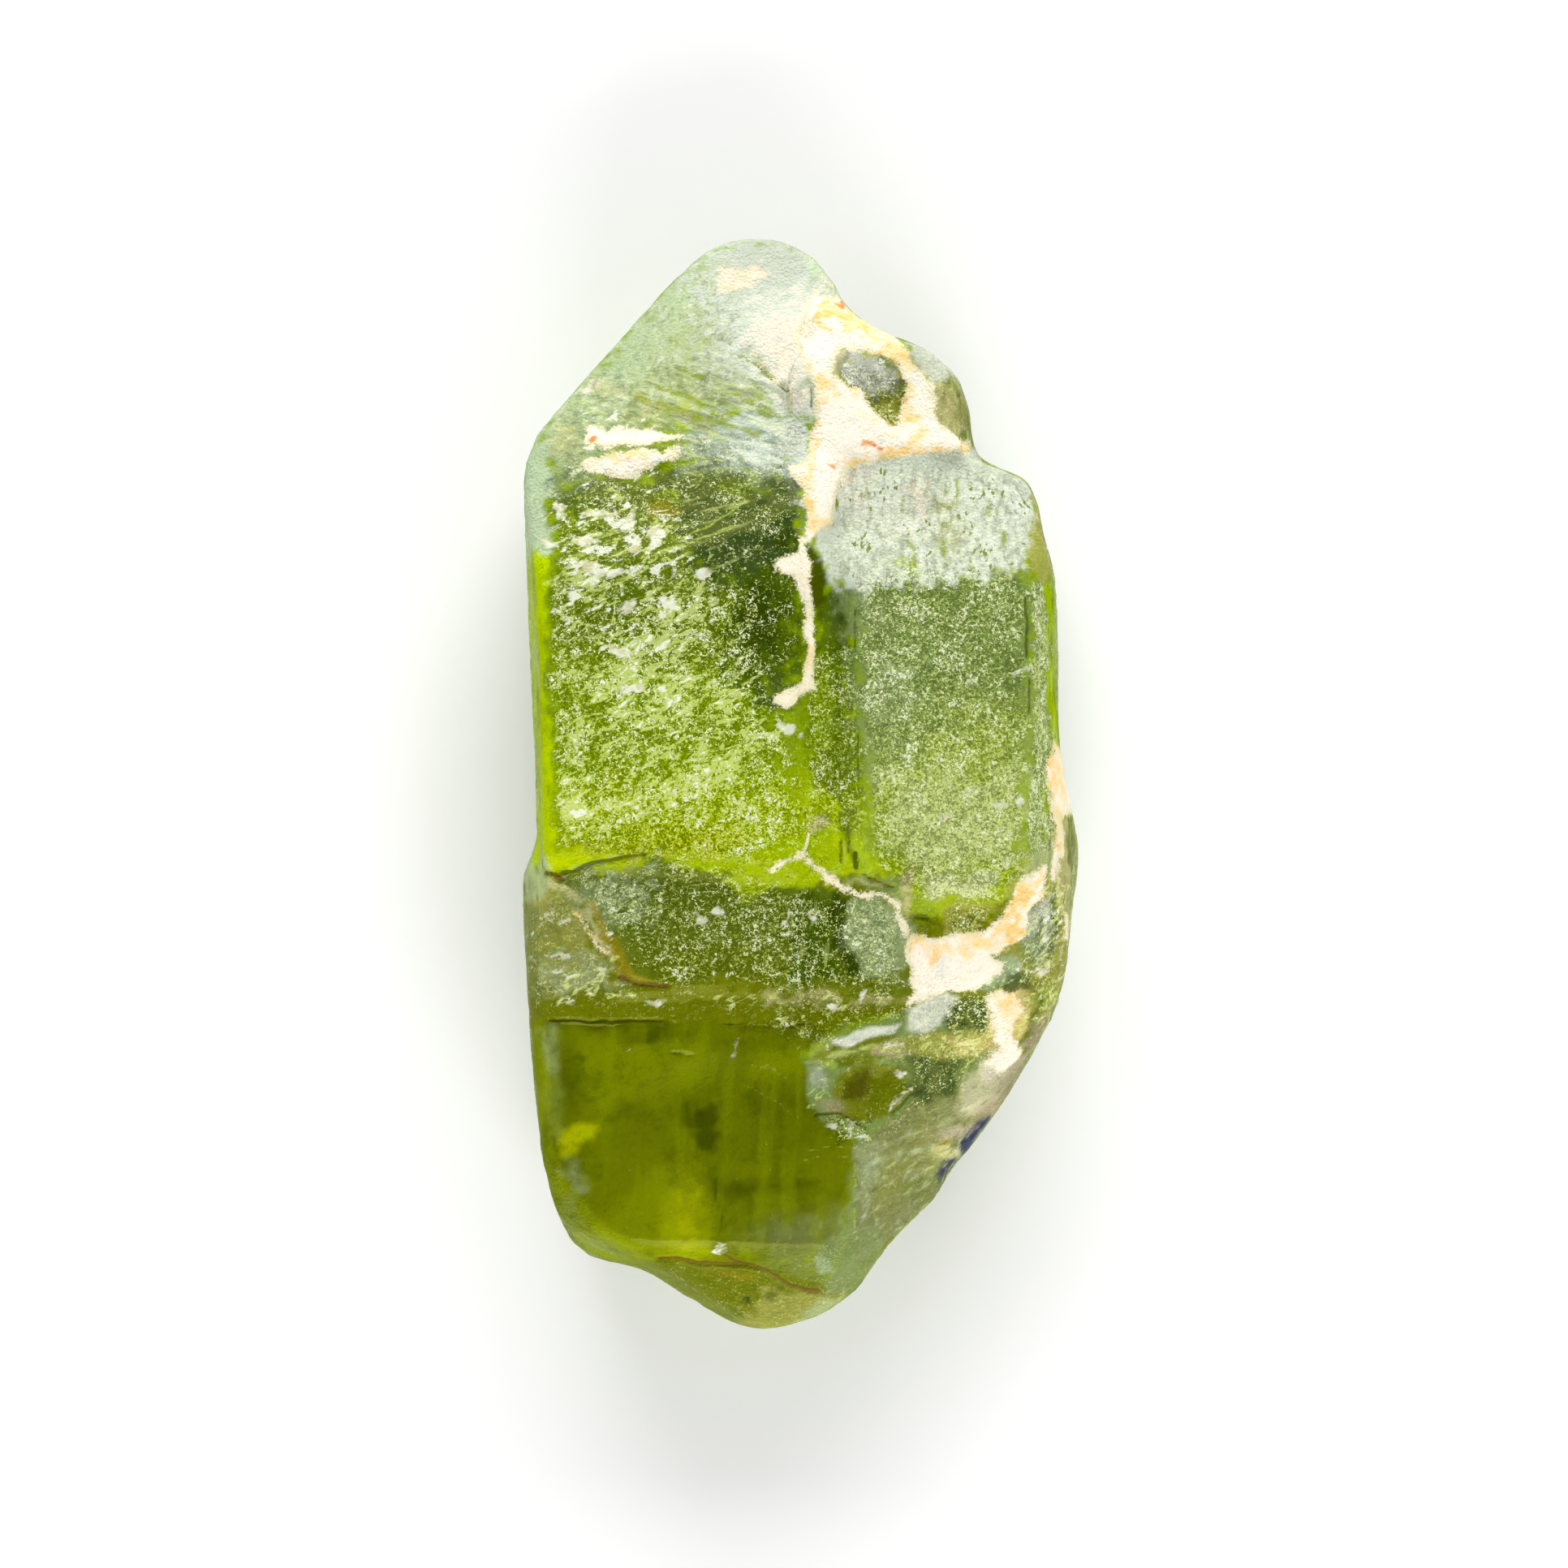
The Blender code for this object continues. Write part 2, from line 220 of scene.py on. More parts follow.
# Orange stains in the matrix: strength, mark and softness
stainMarks = (
    (0.9, oval((0.9, 15.4), (0.5, 0.6), -20), 0.8),
    (0.7, oval((1.9, 15.0), (1.4, 0.4), -38), 0.7),
    (0.55, oval((3.1, 14.0), (0.5, 0.9), 35), 0.6),
    (0.5, oval((0.9, 12.9), (0.6, 0.4)), 0.8),
    (0.6, oval((3.55, 12.6), (0.25, 0.8), 10), 0.5),
    (0.7, line(0.12, (0.42, 11.6), (0.4, 10.4), (0.2, 9.6), (0.35, 8.6)), 0.4),
    (0.75, line(0.12, (1.6, 10.35), (3.0, 10.75), (4.6, 10.85), (5.5, 10.95)), 0.5),
    (0.5, oval((0.6, 8.4), (0.35, 0.5)), 0.4),
    (0.5, oval((0.2, 3.9), (0.3, 0.5)), 0.3),
    (0.6, oval((-6.0, 10.6), (1.0, 0.16)), 0.3),
    (0.6, line(0.25, (3.7, -5.25), (4.6, -5.35), (5.9, -5.25)), 0.6),
    (0.7, oval((6.75, -4.8), (0.4, 0.36)), 0.6),
    (0.7, oval((7.25, -3.6), (0.35, 0.6), -30), 0.6),
    (0.5, line(0.2, (8.3, 1.2), (8.35, -0.6), (8.4, -1.2), (8.45, -2.1)), 0.5),
    (0.5, oval((6.9, -7.5), (0.45, 0.8)), 0.5),
    (0.8, line(0.1, (-7.4, -3.9), (-6.3, -5.6)), 0.3),
)
orangeMarks = (
    oval((-6.75, 11.25), (0.17, 0.12), 20),
    line(0.05, (1.95, 11.1), (2.25, 11.08), (2.55, 10.93)),
    oval((1.05, 10.4), (0.17, 0.06)),
    oval((1.35, 15.75), (0.14, 0.1)),
    oval((3.42, 12.55), (0.06, 0.12)),
)

# White chips and slivers that stand out of the frost
chipMarks = (
    oval((-8.05, 7.75), (0.32, 0.16), -18), oval((-7.85, 8.95), (0.16, 0.36), 12),
    oval((-6.65, 8.75), (0.45, 0.1), 4), line(0.06, (-6.5, 9.2), (-6.1, 8.95), (-6.05, 8.6)),
    oval((-5.6, 8.5), (0.2, 0.45), -18), oval((-4.75, 8.0), (0.32, 0.28), 30),
    oval((-5.45, 7.7), (0.2, 0.3), 8), oval((-6.9, 7.02), (0.62, 0.15), -8),
    oval((-5.95, 6.8), (0.6, 0.14), 16), oval((-7.1, 7.85), (0.5, 0.13), -6),
    oval((-7.45, 6.15), (0.13, 0.28), -22), oval((-5.6, 5.75), (0.28, 0.16), 20),
    oval((-4.55, 5.9), (0.28, 0.1), 8), oval((-3.2, 6.85), (0.26, 0.26), 40),
    oval((-4.15, 6.8), (0.13, 0.2)), oval((-2.85, 5.25), (0.14, 0.15)),
    oval((-5.9, 4.3), (0.42, 0.14), -12), oval((-5.6, 3.0), (0.5, 0.16), 8),
    oval((-0.45, 1.75), (0.34, 0.13), -32), oval((-2.7, -4.2), (0.2, 0.12), 10),
    oval((-3.25, -4.45), (0.08, 0.2), 30), oval((-6.3, -4.95), (0.09, 0.11)),
    oval((-0.45, -4.5), (0.08, 0.18), 8), oval((-0.45, -4.95), (0.11, 0.1)),
    oval((0.4, -4.3), (0.14, 0.1)), oval((-4.85, -7.07), (0.24, 0.08), -20),
    line(0.05, (6.95, 3.5), (7.25, 3.75), (7.5, 3.8)), oval((3.87, 5.3), (0.07, 0.12)),
    line(0.035, (5.35, 3.2), (5.7, 3.24)), line(0.045, (4.38, -1.35), (4.6, -1.1), (4.8, -1.12)),
    oval((3.9, -0.6), (0.1, 0.07)), line(0.045, (5.4, -0.25), (5.7, -0.2)),
    line(0.05, (6.35, -0.75), (6.75, -0.65)), line(0.04, (6.4, -1.55), (6.8, -1.58)),
    line(0.04, (6.6, -2.4), (6.72, -2.75)), oval((1.0, -7.3), (0.15, 0.12), 20),
    oval((2.05, -6.95), (0.1, 0.17), -20), oval((0.8, -8.55), (0.07, 0.14), 25),
    oval((3.2, -9.5), (0.2, 0.16)), line(0.06, (3.6, -9.9), (3.3, -10.3), (2.9, -10.65)),
    oval((1.6, -11.2), (0.1, 0.12)), oval((1.95, -11.5), (0.14, 0.08), 20), oval((1.0, -11.2), (0.1, 0.07)),
    line(0.06, (2.5, -8.6), (3.0, -8.45), (3.4, -8.6)), oval((-2.65, -15.2), (0.2, 0.1), 25),
    oval((-2.07, -8.57), (0.05, 0.14), -20),
    oval((-5.6, -8.72), (0.08, 0.05), -20), oval((7.2, -0.62), (0.12, 0.2), 30),
    oval((7.85, -6.1), (0.25, 0.1), 15), oval((8.0, -4.4), (0.1, 0.1)), oval((8.05, -5.15), (0.09, 0.09)),
)

# Olive streaks across the roof of the big crystal and down the seams
streakMarks = (
    line(0.05, (-2.1, 14.05), (-1.5, 13.75), (-0.9, 13.25)),
    line(0.05, (-1.9, 13.3), (-1.5, 13.05), (-1.2, 12.75)),
    line(0.06, (-4.1, 13.55), (-3.3, 13.3)),
    line(0.07, (-4.7, 12.98), (-3.9, 12.75), (-3.1, 12.35)),
    line(0.06, (-5.3, 12.6), (-4.3, 12.35), (-3.2, 11.95)),
    line(0.05, (-2.9, 12.9), (-2.2, 12.75), (-1.6, 12.45)),
    line(0.06, (-3.5, 11.85), (-2.4, 11.75), (-1.4, 11.35)),
    line(0.04, (-1.2, 12.3), (-0.7, 12.0)),
    line(0.05, (-5.4, 11.3), (-4.5, 11.05), (-3.6, 11.1)),
    line(0.05, (-6.3, 10.95), (-5.3, 10.9)),
    line(0.04, (2.1, 9.9), (2.15, 9.3)), line(0.03, (3.3, 9.4), (3.33, 8.8)),
    line(0.04, (5.1, 9.9), (5.15, 9.2)), line(0.04, (6.1, 9.3), (6.12, 8.7)),
    line(0.05, (3.4, 7.9), (3.7, 7.5), (3.65, 7.1)), line(0.04, (4.6, 8.0), (4.65, 7.4)),
    line(0.04, (6.6, 8.2), (6.62, 7.5)), line(0.04, (5.5, 7.2), (5.55, 6.8)),
)

# Bright hairs inside the clear stone
hairMarks = (
    line(0.015, (-1.7, -9.9), (-0.9, -10.35), (-0.1, -10.9)),
    line(0.03, (-0.5, -8.2), (-0.2, -8.5), (0.05, -8.85)),
    line(0.02, (-1.65, -9.2), (-1.0, -9.35), (-0.5, -9.65)),
    line(0.015, (-1.3, -9.05), (-0.8, -9.35)),
    line(0.015, (0.15, -12.0), (1.0, -11.85), (1.6, -11.95)),
    line(0.01, (0.1, -12.3), (0.8, -12.15), (1.5, -12.2)),
    line(0.02, (1.76, -12.4), (1.75, -13.2)),
    line(0.02, (1.74, -13.9), (1.73, -14.5)),
    line(0.03, (-4.0, 7.95), (-2.9, 8.4), (-1.9, 9.15)),
    line(0.025, (-4.0, 7.6), (-2.9, 8.1), (-2.2, 8.35)),
    line(0.035, (1.45, 3.0), (1.7, 2.6), (1.68, 2.1)),
    line(0.03, (1.4, -1.9), (1.42, -2.7)),
)

# Dark slots, steps and hair cracks, and the cracks filled with rust. The dark in the slots and along the steps is
# partly painted shade.
slotMarks = (
    line(0.07, (-8.35, -2.95), (-7.95, -3.05), (-7.5, -2.95), (-7.05, -2.75), (-6.45, -2.57), (-5.4, -2.45),
         (-5.1, -2.35)),
    line(0.045, (7.33, 6.05), (7.35, 5.0), (7.37, 4.1)),
    line(0.035, (7.43, 3.4), (7.46, 2.2)),
    line(0.03, (1.72, 5.6), (1.74, 4.4)),
    line(0.025, (1.8, 1.6), (1.82, 0.2)),
    line(0.05, (1.25, -1.9), (1.26, -2.6)),
    line(0.08, (1.72, -2.3), (1.76, -2.75)),
    line(0.03, (1.5, -1.5), (1.52, -2.3)),
    line(0.05, (-8.2, -7.75), (-6.6, -7.82), (-4.5, -7.78)),
    line(0.025, (-2.6, -7.85), (-1.5, -8.0), (-0.6, -8.02), (0.3, -7.85)),
    line(0.03, (-2.83, -13.0), (-2.8, -13.7), (-2.58, -14.15), (-2.7, -14.7)),
    line(0.025, (-4.4, -8.8), (-3.6, -8.9)),
    line(0.05, (-1.83, -16.97), (-1.75, -16.95)),
    line(0.05, (0.45, -10.85), (1.2, -10.75), (2.0, -11.2)),
    line(0.04, (3.0, -10.85), (3.6, -10.2), (4.0, -9.9)),
    oval((3.95, -4.4), (0.34, 0.1), -14),
    line(0.03, (2.0, -2.95), (2.6, -3.3), (3.0, -3.45)),
    line(0.03, (0.3, 12.9), (0.33, 12.3)),
    line(0.03, (-1.5, 13.7), (-0.9, 13.2), (-0.5, 12.8)),
)
rustMarks = (
    line(0.04, (-4.7, -15.62), (-4.0, -15.58), (-3.3, -15.77), (-1.8, -15.75), (-1.35, -15.85),
         (-0.85, -16.15), (-0.3, -16.5)),
    line(0.035, (-2.5, -15.45), (-2.1, -15.7), (-1.7, -15.75)),
    line(0.05, (-0.3, -16.5), (0.1, -16.66)),
    line(0.085, (0.15, -16.69), (0.55, -16.69)),
    line(0.06, (-5.9, -6.35), (-5.2, -6.6), (-4.4, -6.6)),
    line(0.05, (-8.2, -3.0), (-7.75, -3.2)),
)

# Where the frost lies: strength, mark and softness. Flakes are coarse, salt is finer and grain finest. The salt's
# bright specks are painted glints and its dark pits painted shade.
flakeMarks = (
    (0.5, outline((-8.2, 9.3), (-5.2, 9.2), (-3.0, 7.4), (-2.9, 4.4), (-4.0, 2.4), (-8.0, 3.6)), 1.2),
    (0.66, outline((-7.9, 4.4), (-1.4, 3.8), (-0.6, 0.6), (-7.6, -2.0)), 1.4),
    (0.8, outline((-7.9, 0.4), (-6.9, 0.4), (-6.7, -2.0), (-7.7, -2.2)), 0.5),
    (0.2, outline((-8.2, 10.8), (-5.2, 12.6), (-2.0, 13.4), (-0.8, 12.0), (-4.0, 11.2)), 1.0),
    (0.6, outline((3.7, -3.0), (4.9, -2.9), (5.0, -3.4), (3.8, -3.7)), 0.3),
    (0.35, outline((2.4, -8.2), (6.2, -8.0), (5.6, -9.4), (3.4, -9.4), (2.4, -8.9)), 0.5),
    (0.5, outline((-8.0, -6.0), (-5.8, -5.6), (-5.5, -6.8), (-8.1, -7.0)), 0.5),
    (0.3, outline((-5.6, -2.6), (-3.4, -3.0), (-2.4, -3.8), (-4.6, -4.2)), 0.5),
    (0.4, outline((7.2, -3.4), (8.8, -3.0), (8.8, -7.6), (7.0, -8.4)), 0.4),
    (0.35, outline((5.6, -5.8), (7.2, -5.6), (7.2, -7.0), (6.0, -7.0)), 0.4),
    (0.5, outline((0.1, -9.0), (1.3, -9.0), (0.4, -10.6)), 0.3),
    (0.25, outline((4.4, -11.2), (5.6, -11.2), (4.8, -12.6), (4.0, -12.2)), 0.4),
    (0.3, outline((-5.0, -7.0), (3.2, -7.0), (3.0, -7.6), (-5.0, -7.5)), 0.4),
)
saltSparkleMarks = (
    (1.0, outline((-8.2, 6.4), (-1.6, 6.6), (-0.6, 1.2), (0.6, -2.5), (-6.6, -2.7), (-8.0, -2.2)), 0.7),
    (0.68, outline((-4.2, 11.4), (-0.4, 11.4), (0.0, 8.0), (-0.4, 4.0), (-2.0, 4.0), (-4.4, 9.0)), 0.8),
    (0.75, outline((-8.2, 9.8), (-3.6, 10.2), (-3.0, 6.0), (-8.2, 6.0)), 0.6),
    (0.9, outline((1.8, 6.9), (7.3, 6.9), (7.2, -3.0), (6.0, -3.9), (3.8, -3.8), (2.4, -2.8)), 0.4),
    (0.85, outline((0.4, 4.4), (1.8, 4.4), (2.0, -2.0), (0.2, -1.8)), 0.4),
    (0.85, outline((-7.8, -2.9), (-4.0, -2.5), (3.2, -4.2), (3.2, -6.9), (-4.8, -6.6)), 0.5),
    (0.5, outline((-9.0, -4.0), (-7.9, -4.0), (-6.0, -6.2), (-9.0, -7.0)), 0.4),
    (0.8, outline((1.2, 14.0), (3.0, 13.6), (3.2, 12.0), (2.4, 11.9), (1.2, 13.2)), 0.3),
    (0.4, outline((0.8, 10.6), (5.6, 11.0), (7.4, 10.0), (7.4, 7.0), (1.0, 6.6)), 0.5),
    (1.0, oval((5.4, -7.5), (0.8, 0.6)), 0.3),
    (0.5, outline((3.4, -7.3), (4.2, -6.8), (4.8, -7.0), (4.6, -8.0), (3.6, -8.2)), 0.3),
    (0.6, outline((2.2, -8.2), (6.4, -7.9), (6.5, -9.0), (2.6, -9.0)), 0.3),
    (0.7, outline((3.4, -8.9), (5.4, -8.8), (5.2, -10.2), (3.8, -10.8)), 0.4),
    (0.7, outline((0.0, -6.9), (3.4, -7.2), (3.4, -7.8), (0.6, -8.4), (-1.8, -7.8)), 0.5),
    (0.3, outline((-8.2, -6.8), (-0.6, -6.8), (-0.8, -7.5), (-8.3, -7.6)), 0.5),
    (0.35, outline((-4.4, -15.8), (-1.4, -16.2), (1.4, -16.0), (2.2, -16.8), (0.6, -18.0), (-2.4, -18.0)), 0.4),
    (0.3, outline((0.2, -15.2), (1.8, -14.8), (2.6, -15.4), (1.8, -16.8), (0.4, -16.4)), 0.4),
    (0.7, outline((7.3, -3.8), (8.4, -3.4), (8.4, -7.6), (7.3, -6.6)), 0.4),
    (0.35, outline((3.4, -9.4), (5.4, -9.4), (4.2, -11.4), (2.6, -11.4)), 0.5),
    (1.0, outline((4.8, -4.0), (6.0, -4.0), (6.0, -4.7), (4.8, -4.7)), 0.2),
    (1.0, outline((7.45, 6.6), (8.2, 6.4), (8.2, -2.0), (7.45, -2.4)), 0.2),
    (0.25, outline((4.6, -11.6), (2.0, -12.2), (1.9, -15.0), (4.2, -13.6)), 0.6),
    (1.0, outline((0.8, -11.0), (2.3, -10.9), (2.3, -11.6), (1.2, -11.7)), 0.3),
)
lumpMarks = (
    (0.75, outline((-8.2, 8.6), (-5.4, 9.2), (-4.2, 8.8), (-3.2, 7.2), (-3.0, 5.2), (-4.4, 4.6), (-8.0, 4.8)), 0.8),
    (0.5, outline((-7.6, 12.2), (-4.4, 12.2), (-3.6, 10.0), (-7.4, 9.4)), 0.6),
    (0.55, outline((1.1, 14.1), (3.0, 13.9), (3.3, 12.8), (2.2, 12.7), (1.2, 13.3)), 0.3),
    (0.6, outline((5.6, -5.6), (7.4, -5.5), (7.2, -7.0), (5.6, -6.8)), 0.3),
    (0.25, outline((7.2, -3.0), (8.8, -3.0), (8.8, -7.2), (7.2, -7.2)), 0.3),
    (0.3, outline((-8.9, -3.8), (-7.8, -3.8), (-6.1, -5.8), (-5.6, -6.9), (-8.9, -7.2)), 0.4),
)
bareMarks = (
    (1.0, outline((4.6, -10.6), (6.6, -10.4), (5.2, -13.2), (4.2, -12.8)), 0.3),
    (1.0, outline((-9.4, 7.4), (-8.3, 7.4), (-8.0, -2.9), (-9.4, -2.9)), 0.4),
    (1.0, outline((0.15, 7.5), (0.75, 7.2), (0.85, 5.9), (0.25, 5.7)), 0.15),
    (0.9, outline((-3.9, 15.6), (-2.6, 18.2), (0.8, 18.4), (2.2, 15.8), (0.6, 12.8), (-1.0, 13.4), (-2.6, 14.6)), 0.8),
    (0.5, outline((-0.8, -1.6), (0.2, -1.6), (0.1, -2.5), (-1.4, -2.4)), 0.4),
    (0.6, outline((1.0, -1.6), (2.2, -2.0), (2.9, -3.2), (1.2, -2.9)), 0.3),
    (0.8, outline((-8.4, -2.0), (-7.6, -2.1), (-5.8, -2.4), (-5.2, -2.55), (-8.4, -2.9)), 0.3),
    (1.0, outline((8.1, 6.6), (8.8, 6.0), (8.75, 1.6), (8.1, 1.2)), 0.2),
    (1.0, outline((-9.1, -2.6), (-7.9, -2.8), (-7.6, -3.6), (-8.6, -3.9)), 0.3),
)
# Painted sheen: how strongly a milky veil of reflected light lies over the frost's own haze on the roofs, the tip and
# some slopes: strength, mark and softness
sheenHazeMarks = (
    (1.0, outline((0.8, 10.8), (3.4, 11.0), (5.8, 11.2), (7.2, 10.5), (7.6, 10.0), (7.6, 8.1), (7.4, 7.2),
                  (6.0, 6.7), (5.4, 6.5), (3.1, 6.4), (2.1, 6.0), (1.5, 6.1), (0.8, 6.8), (0.35, 7.8),
                  (0.3, 9.6)), 0.5),
    (0.35, outline((1.3, 6.6), (3.0, 6.6), (2.8, 4.6), (1.5, 4.4)), 0.8),
    (0.35, outline((2.0, 4.4), (4.2, 4.2), (3.8, 0.8), (2.0, 0.6)), 1.2),
    (0.55, outline((-9.0, 11.0), (-3.0, 18.2), (-1.8, 17.6), (-2.6, 15.0), (-2.8, 12.8), (-7.0, 11.6)), 1.2),
    (0.9, outline((-2.9, 15.2), (-1.6, 14.2), (-0.9, 12.9), (-2.9, 12.9), (-3.2, 14.0)), 0.8),
    (0.5, outline((-2.9, 17.2), (0.6, 17.6), (1.6, 16.0), (0.6, 12.6), (-1.0, 13.0), (-2.4, 14.8)), 0.9),
    (0.9, outline((-2.4, 12.4), (0.3, 12.8), (0.2, 9.8), (-1.2, 9.8), (-2.2, 11.0)), 0.8),
    (0.25, outline((1.6, -3.8), (3.3, -4.2), (3.4, -6.4), (1.7, -6.5)), 0.4),
    (0.35, outline((1.9, -12.2), (4.8, -10.6), (6.0, -11.2), (4.0, -14.4), (1.9, -15.6)), 0.6),
    (0.2, outline((-1.0, -14.6), (2.2, -14.2), (2.0, -17.2), (-0.4, -17.4)), 0.8),
    (0.5, outline((-9.2, 10.9), (-8.2, 10.6), (-8.3, 7.4), (-9.2, 7.4)), 0.3),
)

# Strokes of growth and etching, by the way that they run
slantingMarks = (
    (0.65, outline((-7.6, 12.4), (-2.6, 14.2), (-0.6, 13.4), (0.0, 10.4), (-4.0, 10.0), (-8.2, 10.2)), 1.2),
)
uprightMarks = (
    (0.4, outline((-8.6, 11.6), (-3.0, 17.4), (-1.6, 15.4), (-3.0, 13.0), (-7.0, 11.4)), 0.8),
    (0.7, outline((1.2, 10.4), (7.2, 10.3), (7.4, 6.4), (1.2, 6.4)), 0.5),
    (0.4, outline((4.5, 14.0), (5.9, 13.4), (5.9, 10.8), (4.6, 11.2)), 0.3),
    (0.2, outline((0.4, 6.0), (1.8, 6.0), (2.0, -2.8), (0.4, -2.8)), 0.3),
    (0.45, outline((7.5, 6.6), (8.8, 6.6), (9.2, -4.6), (7.5, -3.4)), 0.3),
    (0.5, outline((-0.4, -3.4), (1.7, -3.4), (1.8, -6.8), (-0.4, -6.8)), 0.3),
)
risingMarks = (
    (0.5, outline((-8.0, 9.2), (-1.8, 9.6), (-1.2, 7.2), (-3.4, 5.8), (-8.0, 6.0)), 1.2),
    (0.4, outline((1.9, -12.2), (4.8, -10.4), (6.2, -11.0), (3.8, -14.6), (1.9, -15.4)), 0.5),
    (0.3, outline((-9.1, -3.8), (-7.8, -3.6), (-6.0, -6.2), (-9.1, -6.8)), 0.5),
    (0.3, outline((3.4, -7.8), (7.2, -7.4), (6.6, -9.6), (2.6, -9.4)), 0.5),
)
